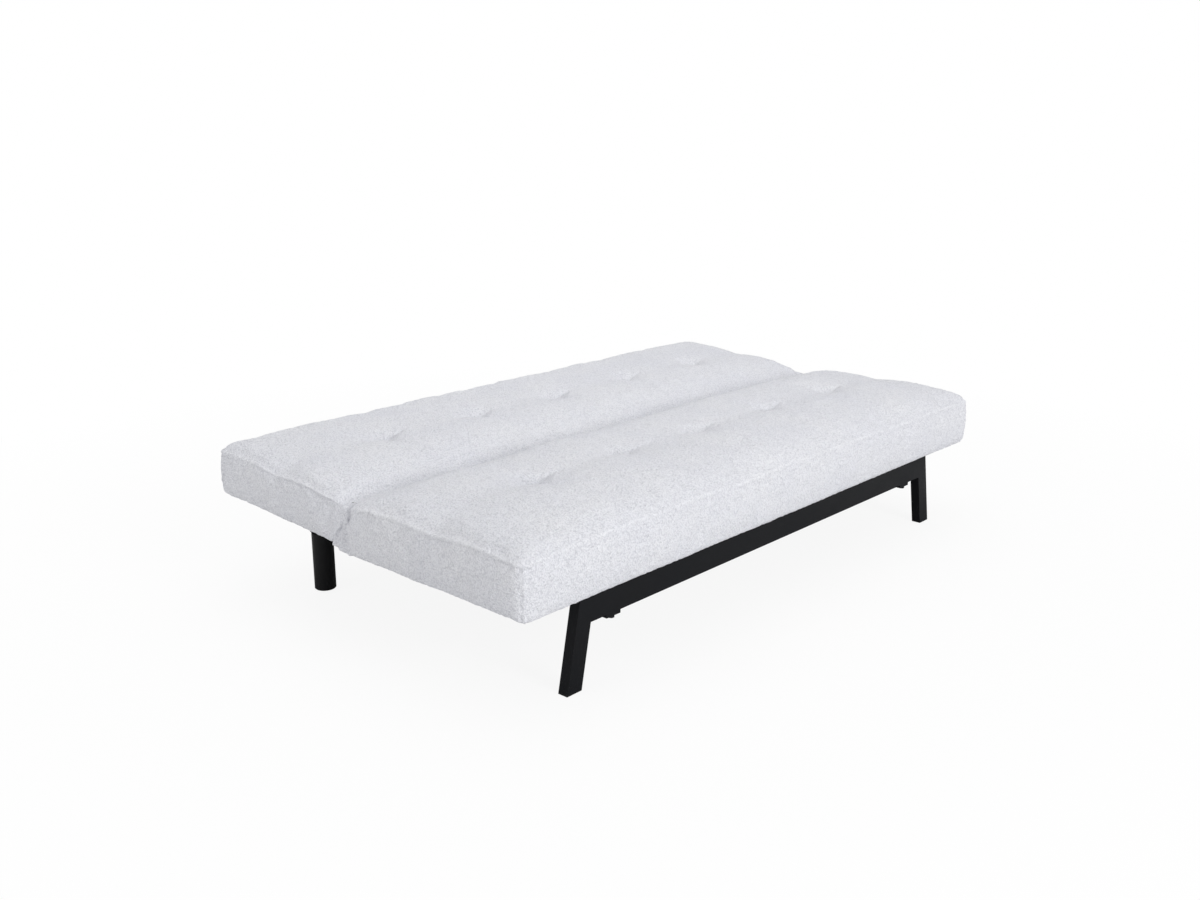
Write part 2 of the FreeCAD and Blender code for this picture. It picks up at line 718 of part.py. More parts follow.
def frame_bolts():
    """Bolts: up through the hangers and the side rails into the seat's timber, and through the crossbar."""
    bolts = []
    for sign in (-1, 1):
        x = sign * side_rail_x
        low = rail_bottom_z - hanger_foot_height
        bolts.append(upright_bolt(x, hanger_bolt_y(), low, seat_timber_z + bolt_bite))
        y = seat_timber_y1 - timber_thickness / 2 - 30
        bolts.append(upright_bolt(x, y, side_rail_z0, seat_timber_z + bolt_bite))
        for z in side_bolt_heights():
            y0 = crossbar_y - crossbar_depth / 2 - hanger_plate
            y1 = crossbar_y + crossbar_depth / 2
            shank = level_shank(x, z, bolt_dia / 2, y0, y1)
            head = hexagon(0, 0, 0, bolt_head_dia, bolt_head_height)
            head.rotate(V(0, 0, 0), V(1, 0, 0), -90)
            rear_head = head.copy()
            rear_head.translate(V(x, y1, z))
            nut = head.copy()
            nut.translate(V(x, y0 - bolt_head_height, z))
            bolts.append(fused([shank, rear_head, nut]))
    return bolts


def upright_bolt(x, y, z0, z1):
    """Bolt with its head below."""
    shank = upright_shank(x, y, bolt_dia / 2, z0, z1)
    return fused([hexagon(x, y, z0 - bolt_head_height, bolt_head_dia, bolt_head_height), shank])


# Ratchet hinges
def pawl_frame():
    """Directions of the engaged pawl: along it from its pin to the notch, and out of the notch."""
    root_v, root_w = polar(tooth_root_r + pawl_clearance, pawl_contact_deg)
    along = (root_v - pawl_pin_v, root_w - pawl_pin_w)
    length = math.hypot(*along)
    along = (along[0] / length, along[1] / length)
    outward = (along[1], -along[0])
    return along, outward, length


def tooth_tip(root_deg):
    """Where a tooth's bearing face, square to the line from the pawl's pin, meets the tip circle."""
    turn = math.radians(root_deg - pawl_contact_deg)
    _, outward, _ = pawl_frame()
    ov = outward[0] * math.cos(turn) - outward[1] * math.sin(turn)
    ow = outward[0] * math.sin(turn) + outward[1] * math.cos(turn)
    rv, rw = polar(tooth_root_r, root_deg)
    b = rv * ov + rw * ow
    reach = -b + math.sqrt(b * b + tooth_tip_r ** 2 - tooth_root_r ** 2)
    return (rv + reach * ov, rw + reach * ow)


def toothed_sector(shift_deg):
    """Outline of the ratchet's teeth about the fold axis, from the last notch to the first."""
    points = [(0.0, 0.0)]
    for k in range(notch_count - 1, -1, -1):
        root_deg = pawl_contact_deg - k * tooth_pitch_deg
        points.append(polar(tooth_root_r, root_deg))
        points.append(tooth_tip(root_deg))
    points.append(polar(tooth_root_r, pawl_contact_deg + tooth_pitch_deg))
    c = math.cos(math.radians(shift_deg))
    s = math.sin(math.radians(shift_deg))
    return [(v * c - w * s, v * s + w * c) for v, w in points]


def back_arm():
    """Hinge arm of the back with its screws: teeth round the fold axis, and a joggled strip on the end board."""
    x0 = seat_arm_x
    x1 = back_arm_x + arm_thickness
    low = back_arm_top_w - arm_strip_height
    half = arm_strip_height / 2
    teeth = side_plate(toothed_sector(-back_rise_deg), x0, x1)
    boss = rod_x(0, 0, pivot_boss_r + 2, x0, x1)
    neck = side_plate([(0, 14), (joggle_start, back_arm_top_w), (joggle_start, low), (2, low + 14), (-6, -14)], x0, x1)
    strip = side_plate([(joggle_start - 1, low), (arm_reach - half, low), (arm_reach - half, back_arm_top_w),
                        (joggle_start - 1, back_arm_top_w)], x0, x1)
    tip = rod_x(arm_reach - half, low + half, half, x0, x1)
    outline = fused([teeth, boss, neck, strip, tip])
    t = arm_thickness
    plan = [(back_arm_x, fold_y - 60), (back_arm_x, fold_y + joggle_start), (seat_arm_x, fold_y + joggle_end),
            (seat_arm_x, fold_y + arm_reach + 5), (seat_arm_x + t, fold_y + arm_reach + 5),
            (seat_arm_x + t, fold_y + joggle_end), (back_arm_x + t, fold_y + joggle_start),
            (back_arm_x + t, fold_y - 60)]
    arm = outline.common(prism_z(plan, fold_z - 100, fold_z + 60))
    arm = arm.cut(rod_x(0, 0, pivot_r + running_clearance, x0 - 5, x1 + 5))
    return tilted(fused([arm] + [arm_screw(place, low + half) for place in screw_places]))


def pawl_points():
    """Pawl's outline in the engaged pose, about the fold axis."""
    along, outward, length = pawl_frame()
    c = pawl_clearance

    def place(a, o):
        return (pawl_pin_v + along[0] * a + outward[0] * o, pawl_pin_w + along[1] * a + outward[1] * o)

    nose_right_top = place(length - c, 0.0)
    nose_right_low = place(length - c, pawl_depth)
    next_tip = tooth_tip(pawl_contact_deg - tooth_pitch_deg)
    away = math.hypot(*next_tip)
    nose_left = (next_tip[0] * (away + 1.0) / away, next_tip[1] * (away + 1.0) / away)
    boss_top = place(0, -pawl_boss_r + 0.5)
    boss_low = place(0, pawl_boss_r - 0.5)
    return [nose_right_top, nose_left, boss_top, boss_low, nose_right_low]


def turned_about_pin(point, degrees):
    """A point of the side view turned about the pawl's pin."""
    c = math.cos(math.radians(degrees))
    s = math.sin(math.radians(degrees))
    v = point[0] - pawl_pin_v
    w = point[1] - pawl_pin_w
    return (pawl_pin_v + v * c - w * s, pawl_pin_w + v * s + w * c)


def tail_place():
    """Centre of the pawl's rounded tail, held off: level with its pin and against the spring."""
    return (spacer_v + spacer_r + spring_thickness + running_clearance + soft_clearance + pawl_tail_r, pawl_pin_w)


def stop_pin_place():
    """The lower spacer, against which the pawl's underside lies when it is held off the teeth."""
    low_left = turned_about_pin(pawl_points()[3], -pawl_throw_deg)
    low_right = turned_about_pin(pawl_points()[4], -pawl_throw_deg)
    length = math.hypot(low_right[0] - low_left[0], low_right[1] - low_left[1])
    run = ((low_right[0] - low_left[0]) / length, (low_right[1] - low_left[1]) / length)
    down = (run[1], -run[0])
    reach = spacer_r + soft_clearance
    return (low_left[0] + 0.55 * length * run[0] + reach * down[0],
            low_left[1] + 0.55 * length * run[1] + reach * down[1])


def pawl():
    """Ratchet pawl, held off the teeth: nose, pin boss and a tail for the spring."""
    x0 = back_arm_x
    x1 = back_arm_x + arm_thickness
    body = side_plate([turned_about_pin(p, -pawl_throw_deg) for p in pawl_points()], x0, x1)
    boss = rod_x(pawl_pin_v, pawl_pin_w, pawl_boss_r, x0, x1)
    tail_v, tail_w = tail_place()
    tail = side_plate([(pawl_pin_v, pawl_pin_w + 5), (tail_v, tail_w + pawl_tail_r),
                       (tail_v, tail_w - pawl_tail_r), (pawl_pin_v, pawl_pin_w - 5)], x0, x1)
    tip = rod_x(tail_v, tail_w, pawl_tail_r, x0, x1)
    whole = fused([body, boss, tail, tip])
    return whole.cut(rod_x(pawl_pin_v, pawl_pin_w, pawl_pin_r + running_clearance, x0 - 5, x1 + 5))


def cheek_holes(x0, x1):
    """Holes for the pivot and for the pawl's pin, in both of the seat's hinge plates."""
    c = running_clearance
    return [rod_x(0, 0, pivot_r + c, x0, x1), rod_x(pawl_pin_v, pawl_pin_w, pawl_pin_r + c, x0, x1)]


def cheek_outline(x0, x1):
    """Rounded triangle round the pivot and the two spacers."""
    stop_v, stop_w = stop_pin_place()
    return belt([(0, 0, pivot_boss_r), (spacer_v, spacer_w, spacer_r + 4), (stop_v, stop_w, spacer_r + 4)], x0, x1)


def seat_arm():
    """Hinge arm of the seat with its screws: inner cheek and a strip on the end board."""
    x0 = seat_arm_x
    x1 = x0 + arm_thickness
    low = seat_arm_top_w - arm_strip_height
    half = arm_strip_height / 2
    strip = side_plate([(-arm_reach + half, low), (pawl_pin_v, low), (pawl_pin_v, seat_arm_top_w),
                        (-arm_reach + half, seat_arm_top_w)], x0, x1)
    tip = rod_x(-arm_reach + half, low + half, half, x0, x1)
    stop_v, stop_w = stop_pin_place()
    c = running_clearance
    cuts = cheek_holes(x0 - 5, x1 + 5)
    cuts += [side_shank(v, w, spacer_pin_r + c, x0 - 5, x1 + 5) for v, w in ((spacer_v, spacer_w), (stop_v, stop_w))]
    arm = fused([cheek_outline(x0, x1), strip, tip]).cut(cuts)
    return fused([arm] + [arm_screw(-place, low + half) for place in screw_places])


def seat_cheek():
    """Outer cheek of the seat's hinge, with the two stepped spacers riveted in it; the lower one also stops the pawl."""
    cheek = cheek_outline(cheek_x, hinge_outer_x).cut(cheek_holes(cheek_x - 5, hinge_outer_x + 5))
    spacers = []
    for v, w in ((spacer_v, spacer_w), stop_pin_place()):
        spacers.append(side_shank(v, w, spacer_pin_r, seat_arm_x, cheek_x))
        spacers.append(rod_x(v, w, spacer_r, seat_arm_x + arm_thickness, cheek_x))
    return fused([cheek] + spacers)


def pawl_spring():
    """Leaf spring hooked round the upper spacer, bearing on the pawl's tail."""
    x0 = back_arm_x
    x1 = back_arm_x + arm_thickness
    inner = spacer_r + running_clearance
    outer = inner + spring_thickness
    ring = rod_x(spacer_v, spacer_w, outer, x0, x1).cut(rod_x(spacer_v, spacer_w, inner, x0 - 1, x1 + 1))
    mouth = side_plate([(spacer_v - 20, spacer_w - 20), (spacer_v, spacer_w - 20), (spacer_v, spacer_w),
                        (spacer_v - 20, spacer_w)], x0 - 1, x1 + 1)
    leaf = side_plate([(spacer_v + inner, spacer_w), (spacer_v + outer, spacer_w),
                       (spacer_v + outer, spacer_w - spring_length), (spacer_v + inner, spacer_w - spring_length)],
                      x0, x1)
    return fused([ring.cut(mouth), leaf])


def pivot_pins():
    """Shouldered rivets on the fold axis, one at each end."""
    x1 = hinge_outer_x
    shaft = rod_x(0, 0, pivot_r, seat_arm_x, x1)
    inner = rod_x(0, 0, pivot_head_r, seat_arm_x - pivot_head_height, seat_arm_x)
    outer = rod_x(0, 0, pivot_head_r, x1, x1 + pivot_head_height)
    pin = fused([shaft, inner, outer])
    return [pin, mirrored(pin)]


def pawl_pins():
    """Rivets on which the pawls turn."""
    x1 = hinge_outer_x
    pin = fused([rod_x(pawl_pin_v, pawl_pin_w, pawl_pin_r, seat_arm_x, x1),
                 rod_x(pawl_pin_v, pawl_pin_w, pawl_pin_r + 2.5, x1, x1 + 2)])
    return [pin, mirrored(pin)]


def arm_screw(v, w):
    """Hexagon-head screw that holds a hinge arm to the end board, drawn as one with the arm."""
    face = seat_arm_x + arm_thickness
    r = screw_head_across / math.sqrt(3)
    corners = [polar(r, 60 * i) for i in range(6)]
    head = side_plate([(v + a, w + b) for a, b in corners], face - 1, face + screw_head_height)
    shank = side_shank(v, w, screw_r, timber_half_x - screw_length + 1, face - 1)
    return fused([head, shank])


# Whole object
def seat_pieces():
    """Cushion, timber, webbing and dust cover of the seat."""
    y0 = seat_timber_y0
    y1 = seat_timber_y1
    z0 = seat_timber_z
    z1 = seat_timber_top
    t = timber_thickness
    strip_w = seat_arm_top_w - arm_strip_height / 2
    front = long_rail(y0, y0 + t, z0, z1)
    holes = [bolt_hole(s * side_rail_x, hanger_bolt_y(), z0 - 5, z0 + bolt_bite + 1) for s in (-1, 1)]
    rear_y = y1 - t / 2 - 30
    cross_holes = holes + [bolt_hole(s * side_rail_x, rear_y, z0 - 5, z0 + bolt_bite + 1) for s in (-1, 1)]
    dust = box(-timber_half_x, timber_half_x, y0, y1, seat_bottom_z, z0)
    return {
        "seat_cushion": seat_cushion(),
        "seat_front_rail": front.cut(holes),
        "seat_rear_rail": long_rail(y1 - t, y1, z0, z1),
        "seat_end_rails": end_rails(y0 + t, y1 - t, z0, z1, strip_w, -1, lambda s: s),
        "seat_cross_rails": [b.cut(cross_holes) for b in cross_rails(y0 + t, y1 - t, z0, z1 - cross_rail_drop)],
        "seat_corner_blocks": corner_blocks(y0 + t, y1 - t, z0, z1 - cross_rail_drop),
        "seat_webbing": webbing(y0, y1, z1),
        "seat_dust_cover": dust.cut(cross_holes),
    }


def back_pieces():
    """Cushion, timber, webbing and dust cover of the back."""
    y0 = back_timber_y0
    y1 = back_timber_y1
    z0 = back_timber_z
    z1 = back_timber_top
    t = timber_thickness
    strip_w = back_arm_top_w - arm_strip_height / 2
    blocks = corner_blocks(y0 + t, y1 - t, z0, z1 - cross_rail_drop)
    return {
        "back_cushion": back_cushion(),
        "back_front_rail": tilted(long_rail(y0, y0 + t, z0, z1)),
        "back_rear_rail": tilted(long_rail(y1 - t, y1, z0, z1)),
        "back_end_rails": end_rails(y0 + t, y1 - t, z0, z1, strip_w, 1, tilted),
        "back_cross_rails": [tilted(b) for b in cross_rails(y0 + t, y1 - t, z0, z1 - cross_rail_drop)],
        "back_corner_blocks": [tilted(b) for b in blocks],
        "back_webbing": [tilted(b) for b in webbing(y0, y1, z1)],
        "back_dust_cover": tilted(box(-timber_half_x, timber_half_x, y0, y1, back_bottom_z, z0)),
    }


def base_pieces():
    """Steel base and everything fixed to it."""
    leg = rear_leg()
    return {
        "front_leg_frame": front_leg_frame(),
        "front_foot_caps": front_foot_caps(),
        "side_rail_left": side_rail(-1),
        "side_rail_right": side_rail(1),
        "rear_crossbar": rear_crossbar(),
        "crossbar_caps": crossbar_caps(),
        "rear_legs": [leg, mirrored(leg)],
        "rear_leg_plates": rear_leg_plates(),
        "rear_leg_studs": rear_leg_studs(),
        "rear_glides": rear_glides(),
        "back_bumpers": back_bumpers(),
        "frame_bolts": frame_bolts(),
    }


def hinge_pieces():
    """Both ratchet hinges."""
    pieces = {}
    for name, make in (("pawl", pawl), ("end_gusset", gusset)):
        right = make()
        pieces[name + "_right"] = right
        pieces[name + "_left"] = mirrored(right)
    for name, make in (("seat_arms", seat_arm), ("seat_cheeks", seat_cheek), ("back_arms", back_arm),
                       ("pawl_springs", pawl_spring)):
        right = make()
        pieces[name] = [right, mirrored(right)]
    pieces["pivot_pins"] = pivot_pins()
    pieces["pawl_pins"] = pawl_pins()
    return pieces


def main():
    """Write one STEP file for each node."""
    os.makedirs("parts", exist_ok=True)
    pieces = {}
    pieces.update(base_pieces())
    pieces.update(seat_pieces())
    pieces.update(back_pieces())
    pieces.update(hinge_pieces())
    for name, shape in sorted(pieces.items()):
        whole = Part.makeCompound(shape) if isinstance(shape, list) else shape
        whole.exportStep("parts/" + name + ".step")
        solids = whole.Solids
        volume = sum(s.Volume for s in solids)
        print(name, len(solids), "solids", round(volume / 1000, 1), "cm3", "valid" if whole.isValid() else "INVALID")


main()
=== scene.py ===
"""Finishes a click clack sofa bed, drawn flat as a bed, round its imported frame, and sets it in a plain studio.

Metres, in the frame's own axes: +X along the length, +Y to the rear, +Z up. Two bouclé cushions meet over the
fold axis, pleated gussets close the wedge between their ends, and the steel, timber and fastenings keep their
frame pieces.
"""

import json
import math

import bpy
import numpy as np
from bpy.props import FloatProperty, FloatVectorProperty, IntProperty, PointerProperty
from bpy.types import Operator, Panel, PropertyGroup
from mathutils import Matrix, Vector


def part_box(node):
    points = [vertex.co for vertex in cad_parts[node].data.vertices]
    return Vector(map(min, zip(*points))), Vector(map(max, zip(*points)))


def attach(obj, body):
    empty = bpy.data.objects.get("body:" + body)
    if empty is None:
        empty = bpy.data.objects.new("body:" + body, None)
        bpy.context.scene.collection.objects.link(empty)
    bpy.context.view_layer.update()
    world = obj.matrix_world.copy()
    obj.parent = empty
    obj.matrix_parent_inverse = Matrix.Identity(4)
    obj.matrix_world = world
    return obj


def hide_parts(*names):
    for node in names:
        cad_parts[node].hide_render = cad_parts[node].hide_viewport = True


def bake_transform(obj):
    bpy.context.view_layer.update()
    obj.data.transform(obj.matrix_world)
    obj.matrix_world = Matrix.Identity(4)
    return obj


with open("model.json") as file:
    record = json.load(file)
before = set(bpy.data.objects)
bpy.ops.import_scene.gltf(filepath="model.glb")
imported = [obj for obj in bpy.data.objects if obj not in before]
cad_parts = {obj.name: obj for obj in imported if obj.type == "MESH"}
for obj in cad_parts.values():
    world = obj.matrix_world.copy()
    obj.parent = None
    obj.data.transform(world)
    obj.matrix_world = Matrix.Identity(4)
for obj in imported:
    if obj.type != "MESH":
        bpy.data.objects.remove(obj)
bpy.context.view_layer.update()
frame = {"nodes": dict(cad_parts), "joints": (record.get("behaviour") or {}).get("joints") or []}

bl_info = {
    "name": "Click Clack Sofa Bed",
    "version": (1, 0, 0),
    "blender": (4, 5, 0),
    "location": "View3D > Sidebar > Sofa Bed",
    "description": "Upholsters and finishes a click clack sofa bed round its frame",
    "category": "Object",
}

seat_low, seat_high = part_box("seat_cushion")
fold_joint = next(joint for joint in frame["joints"] if joint["name"] == "back_fold")
FOLD_Y, FOLD_Z = fold_joint["pos_m"][1], fold_joint["pos_m"][2]
HALF_LENGTH = seat_high.x
FRONT_Y = seat_low.y
SEAT_FLOOR = seat_low.z
FOLD_GAP = 0.004
FOLD_LIP = FOLD_Y + FOLD_GAP / 2
TILT = math.radians(2.6)
BACK_FLOOR = 0.236
BACK_DEPTH = 0.528
ROLL_RADIUS = 0.022
COVER_WALL = 0.018
END_WALL = 0.037
DUST_COVER_LAP = 0.003
SEAT_TUFT_ROW = 0.292
SEAT_TURN_UP, BACK_TURN_UP = 0.086, 0.078
SEAT_RINGS, BACK_RINGS = 12, 14
SEAT_SEED, BACK_SEED, GUSSET_SEED = 40, 70, 90
SWELLING_FRAMES = 20
CLOTH_THICKNESS = 0.0022
LIGHT_AIM = (0, 0, 0.3)
FLOOR_REACH = 60
WHITE = (1, 1, 1, 1)


# Sizes and colours that a user would change
def length(name, description, default, least=0.0, most=3.0):
    """A length property in metres."""
    return FloatProperty(name=name, description=description, default=default, min=least, max=most,
                         subtype="DISTANCE", unit="LENGTH")


def colour(name, description, default):
    """A colour property, linear red, green and blue."""
    return FloatVectorProperty(name=name, description=description, default=default, size=3, min=0.0, max=1.0,
                               subtype="COLOR")


def angle(name, description, degrees):
    """An angle property."""
    return FloatProperty(name=name, description=description, default=math.radians(degrees), subtype="ANGLE",
                         unit="ROTATION")


def power(name, description, watts):
    """A lamp's power."""
    return FloatProperty(name=name, description=description, default=watts, min=0.0, unit="POWER")


class CushionSizes(PropertyGroup):
    """Form of the two cushions"""
    seat_seam: length("Seat seam", "Height of the seat's top-edge seam", 0.357)
    back_seam: length("Back seam", "Height of the back's top-edge seam before it is tilted", 0.355)
    seat_crown: length("Seat crown", "Rise of the seat's padding over its seam", 0.054, 0.0, 0.2)
    back_crown: length("Back crown", "Rise of the back's padding over its seam", 0.042, 0.0, 0.2)
    edge_rise: length("Edge rise", "Part of the crown that stands up at once beside a seam", 0.019, 0.0, 0.1)
    edge_run: length("Edge run", "Distance from a seam in which that part is reached", 0.023, 0.002, 0.2)
    crown_run: length("Crown run", "Distance from an end in which the rest is reached", 0.3, 0.01, 0.9)
    side_bow: length("Side bow", "How far the upright sides swell out at half height", 0.005, 0.0, 0.05)
    corner_radius: length("Corner radius", "Rounding of the upright outer corners", 0.024, 0.001, 0.1)
    edge_radius: length("Edge radius", "Rounding of the bottom edges", 0.012, 0.001, 0.05)
    channel_depth: length("Channel depth", "Dip of the stitched line along the middle", 0.0035, 0.0, 0.05)
    tuft_count: IntProperty(name="Tufts", description="Tufts in each cushion's row", default=5, min=1, max=12)
    seat_pitch: length("Seat tuft pitch", "Distance between the seat's tufts", 0.307, 0.05, 1.0)
    back_pitch: length("Back tuft pitch", "Distance between the back's tufts", 0.3185, 0.05, 1.0)
    tuft_depth: length("Tuft depth", "Pull of each tuft below the channel", 0.026, 0.0, 0.05)
    tuft_reach: length("Tuft reach", "Half width of a tuft's pull", 0.088, 0.01, 0.2)
    seat_wave: length("Seat seam wave", "How far the seat's top seam wanders up and down", 0.005, 0.0, 0.03)
    back_wave: length("Back seam wave", "How far the back's top seam wanders up and down", 0.0015, 0.0, 0.03)
    welt: length("Welt", "Height of the seam allowance that shows through along the seams", 0.0028, 0.0, 0.01)
    nap: length("Nap", "Height of the curly nap's clumps", 0.0016, 0.0, 0.01)
    grid_pitch: length("Grid pitch", "Spacing of the cover's grid before it is subdivided", 0.015, 0.004, 0.1)


class FinishColours(PropertyGroup):
    """Colours of the finishes"""
    boucle_light: colour("Bouclé, tips", "Tips of the curly nap", (0.9, 0.905, 0.935))
    # Painted shade: the depths' grey stands in for the shade that falls in the gaps between the curls.
    boucle_painted_shade: colour("Bouclé, depths", "Gaps between the curls", (0.67, 0.675, 0.715))
    powder_coat: colour("Powder coat", "Black powder coat on the steel", (0.0042, 0.0046, 0.0058))
    zinc: colour("Zinc", "Bright zinc plating", (0.56, 0.57, 0.58))
    spring_steel: colour("Spring steel", "Oiled spring steel", (0.2, 0.2, 0.21))
    plastic: colour("Plastic", "Moulded black plastic", (0.004, 0.004, 0.0045))
    rubber: colour("Rubber", "Black rubber", (0.011, 0.011, 0.011))
    timber_light: colour("Timber, light", "Pale bands of the timber", (0.55, 0.39, 0.22))
    timber_dark: colour("Timber, dark", "Dark bands of the timber", (0.34, 0.21, 0.105))
    webbing: colour("Webbing", "Elastic webbing", (0.055, 0.05, 0.048))
    dust_cloth: colour("Dust cloth", "Non-woven cloth under the cushions", (0.014, 0.014, 0.015))


class StageSettings(PropertyGroup):
    """Camera, lights and floor"""
    camera_place: FloatVectorProperty(name="Camera place", description="Where the camera stands",
                                      default=(-2.5375, -2.2224, 1.2475), size=3, subtype="XYZ", unit="LENGTH")
    camera_pitch: angle("Camera pitch", "Turn of the camera from straight down", 74.1)
    camera_yaw: angle("Camera yaw", "Turn of the camera about the upright", -47.5)
    lens: FloatProperty(name="Lens", description="Focal length in millimetres on a 36 mm frame", default=37.11,
                        min=10.0, max=300.0)
    key_power: power("Key light", "Power of the large front light", 236.0)
    top_power: power("Top light", "Power of the overhead light", 34.0)
    side_power: power("Side light", "Power of the light at the left", 43.0)
    rear_power: power("Rear light", "Power of the light behind", 30.0)
    sky_level: FloatProperty(name="Sky level", description="Strength of the even light all round", default=0.55,
                             min=0.0, max=2.0)
    floor_colour: colour("Floor colour", "Plain pale floor", (0.86, 0.86, 0.86))
    floor_lift: FloatProperty(name="Floor lift", description="How far the nearby floor is lifted to white",
                              default=0.9, min=0.0, max=1.0)


# Curves and noise
def through(places, heights, at):
    """Smooth curve through points: cubic pieces whose slope at each point comes from its neighbours."""
    places, heights = np.asarray(places, float), np.asarray(heights, float)
    slope = np.gradient(heights, places)
    at = np.clip(at, places[0], places[-1])
    k = np.clip(np.searchsorted(places, at, side="right") - 1, 0, len(places) - 2)
    span = places[k + 1] - places[k]
    t = (at - places[k]) / span
    return ((2 * t**3 - 3 * t**2 + 1) * heights[k] + (t**3 - 2 * t**2 + t) * span * slope[k]
            + (3 * t**2 - 2 * t**3) * heights[k + 1] + (t**3 - t**2) * span * slope[k + 1])


def smooth_noise(points, pitch, seed):
    """Random heights from -1 to 1: one for each corner of a cubic lattice, blended smoothly between them."""
    place = points / pitch
    cell = np.floor(place)
    part = place - cell
    part = part * part * (3 - 2 * part)
    cell = cell.astype(np.int64).astype(np.uint64)
    total = np.zeros(len(points))
    for corner in range(8):
        step = np.array([corner & 1, corner >> 1 & 1, corner >> 2 & 1], np.uint64)
        a, b, c = ((cell[:, k] + step[k]) * np.uint64(m) for k, m in enumerate((73856093, 19349663, 83492791)))
        mixed = (a ^ b ^ c ^ np.uint64(seed * 2654435761)) & np.uint64(0xFFFFFFFF)
        for shift, factor in ((15, 2246822519), (13, 3266489917)):
            mixed = ((mixed ^ (mixed >> np.uint64(shift))) * np.uint64(factor)) & np.uint64(0xFFFFFFFF)
        value = (mixed ^ (mixed >> np.uint64(16))).astype(float) / 0xFFFFFFFF * 2 - 1
        weight = np.prod(np.where(step == 1, part, 1 - part), axis=1)
        total += weight * value
    return total


def evenly(path, count):
    """Points spaced evenly by length along a polyline of (y, z) points."""
    path = np.asarray(path, float)
    run = np.concatenate([[0], np.cumsum(np.linalg.norm(np.diff(path, axis=0), axis=1))])
    at = np.linspace(0, run[-1], count + 1)
    return np.stack([np.interp(at, run, path[:, 0]), np.interp(at, run, path[:, 1])], axis=1)


def arc_points(centre, radius, first, last, count=24):
    """Points on an arc about a centre, its angles in degrees from the rear, turning upwards."""
    turn = np.radians(np.linspace(first, last, count))
    return np.stack([centre[0] + radius * np.cos(turn), centre[1] + radius * np.sin(turn)], axis=1)


# Meshes
def coordinates(mesh):
    """A mesh's points as an array of rows."""
    found = np.zeros(len(mesh.vertices) * 3)
    mesh.vertices.foreach_get("co", found)
    return found.reshape(-1, 3)


def normals(mesh):
    """A mesh's point normals as an array of rows."""
    found = np.zeros(len(mesh.vertices) * 3, np.float32)
    mesh.vertex_normals.foreach_get("vector", found)
    return found.reshape(-1, 3).astype(float)


def place_points(mesh, points):
    """Moves a mesh's points to the rows of an array."""
    mesh.vertices.foreach_set("co", np.asarray(points, np.float32).ravel())
    mesh.update()


def set_values(mesh, name, values):
    """Stores one number for each point under a name."""
    layer = mesh.attributes.get(name) or mesh.attributes.new(name, "FLOAT", "POINT")
    layer.data.foreach_set("value", np.asarray(values, np.float32))


def get_values(mesh, name):
    """Reads back one number for each point."""
    found = np.zeros(len(mesh.vertices), np.float32)
    mesh.attributes[name].data.foreach_get("value", found)
    return found.astype(float)


def new_piece(name, points, faces, material):
    """A smooth-shaded object of points and faces, with its place in its mesh."""
    mesh = bpy.data.meshes.new(name)
    mesh.from_pydata(np.asarray(points).tolist(), [], faces)
    mesh.polygons.foreach_set("use_smooth", np.ones(len(mesh.polygons), bool))
    mesh.materials.append(material)
    mesh.update()
    piece = bpy.data.objects.new(name, mesh)
    bpy.context.scene.collection.objects.link(piece)
    return piece


def apply_modifiers(piece):
    """Replaces a piece's mesh by what its modifiers make of it."""
    graph = bpy.context.evaluated_depsgraph_get()
    finished = bpy.data.meshes.new_from_object(piece.evaluated_get(graph), depsgraph=graph)
    piece.modifiers.clear()
    piece.data = finished


def subdivided(piece, levels):
    """Rounds a piece by subdivision and applies it."""
    rounding = piece.modifiers.new("Rounding", "SUBSURF")
    rounding.levels = rounding.render_levels = levels
    rounding.use_limit_surface = False
    apply_modifiers(piece)


# Cushion covers
def rim_loop(columns, rows):
    """Grid places (i, j) round the top panel's edge, anticlockwise from above, from the front left corner."""
    front = np.stack([np.arange(columns), np.zeros(columns, int)], axis=1)
    right = np.stack([np.full(rows, columns), np.arange(rows)], axis=1)
    rear = np.stack([np.arange(columns, 0, -1), np.full(columns, rows)], axis=1)
    left = np.stack([np.zeros(rows, int), np.arange(rows, 0, -1)], axis=1)
    return np.concatenate([front, right, rear, left])


def grid_faces(columns, rows, turned=False):
    """Faces of a plain grid, turned round if asked."""
    i, j = np.meshgrid(np.arange(columns), np.arange(rows))
    corner = (j * (columns + 1) + i).ravel()
    order = [corner, corner + 1, corner + columns + 2, corner + columns + 1]
    return np.stack(order[::-1] if turned else order, axis=1).tolist()


def cover_faces(columns, rows, rings):
    """Faces of a closed cover: the top panel's grid, rings hung from its edge, and one face that closes it."""
    loop = rim_loop(columns, rows)
    edge = loop[:, 1] * (columns + 1) + loop[:, 0]
    start = (columns + 1) * (rows + 1)
    count = len(loop)
    levels = [edge] + [start + ring * count + np.arange(count) for ring in range(rings)]
    skirt = [np.stack([upper, lower, np.roll(lower, -1), np.roll(upper, -1)], axis=1)
             for upper, lower in zip(levels, levels[1:])]
    return grid_faces(columns, rows) + np.concatenate(skirt).tolist() + [levels[-1][::-1].tolist()]


def outer_side(seam_y, seam_z, floor, outward, sizes, count):
    """Path down an outer side: it bows out as half a sine wave between the seam and the rounded foot."""
    radius = sizes.edge_radius
    down = np.linspace(0, 1, 30)
    wall = np.stack([seam_y + outward * sizes.side_bow * np.sin(math.pi * down),
                     seam_z + (floor + radius - seam_z) * down], axis=1)
    turn = np.radians(np.linspace(0, 90, 8))[1:]
    under = np.stack([seam_y - outward * radius * (1 - np.cos(turn)),
                      floor + radius - radius * np.sin(turn)], axis=1)
    return evenly(np.concatenate([wall, under]), count)


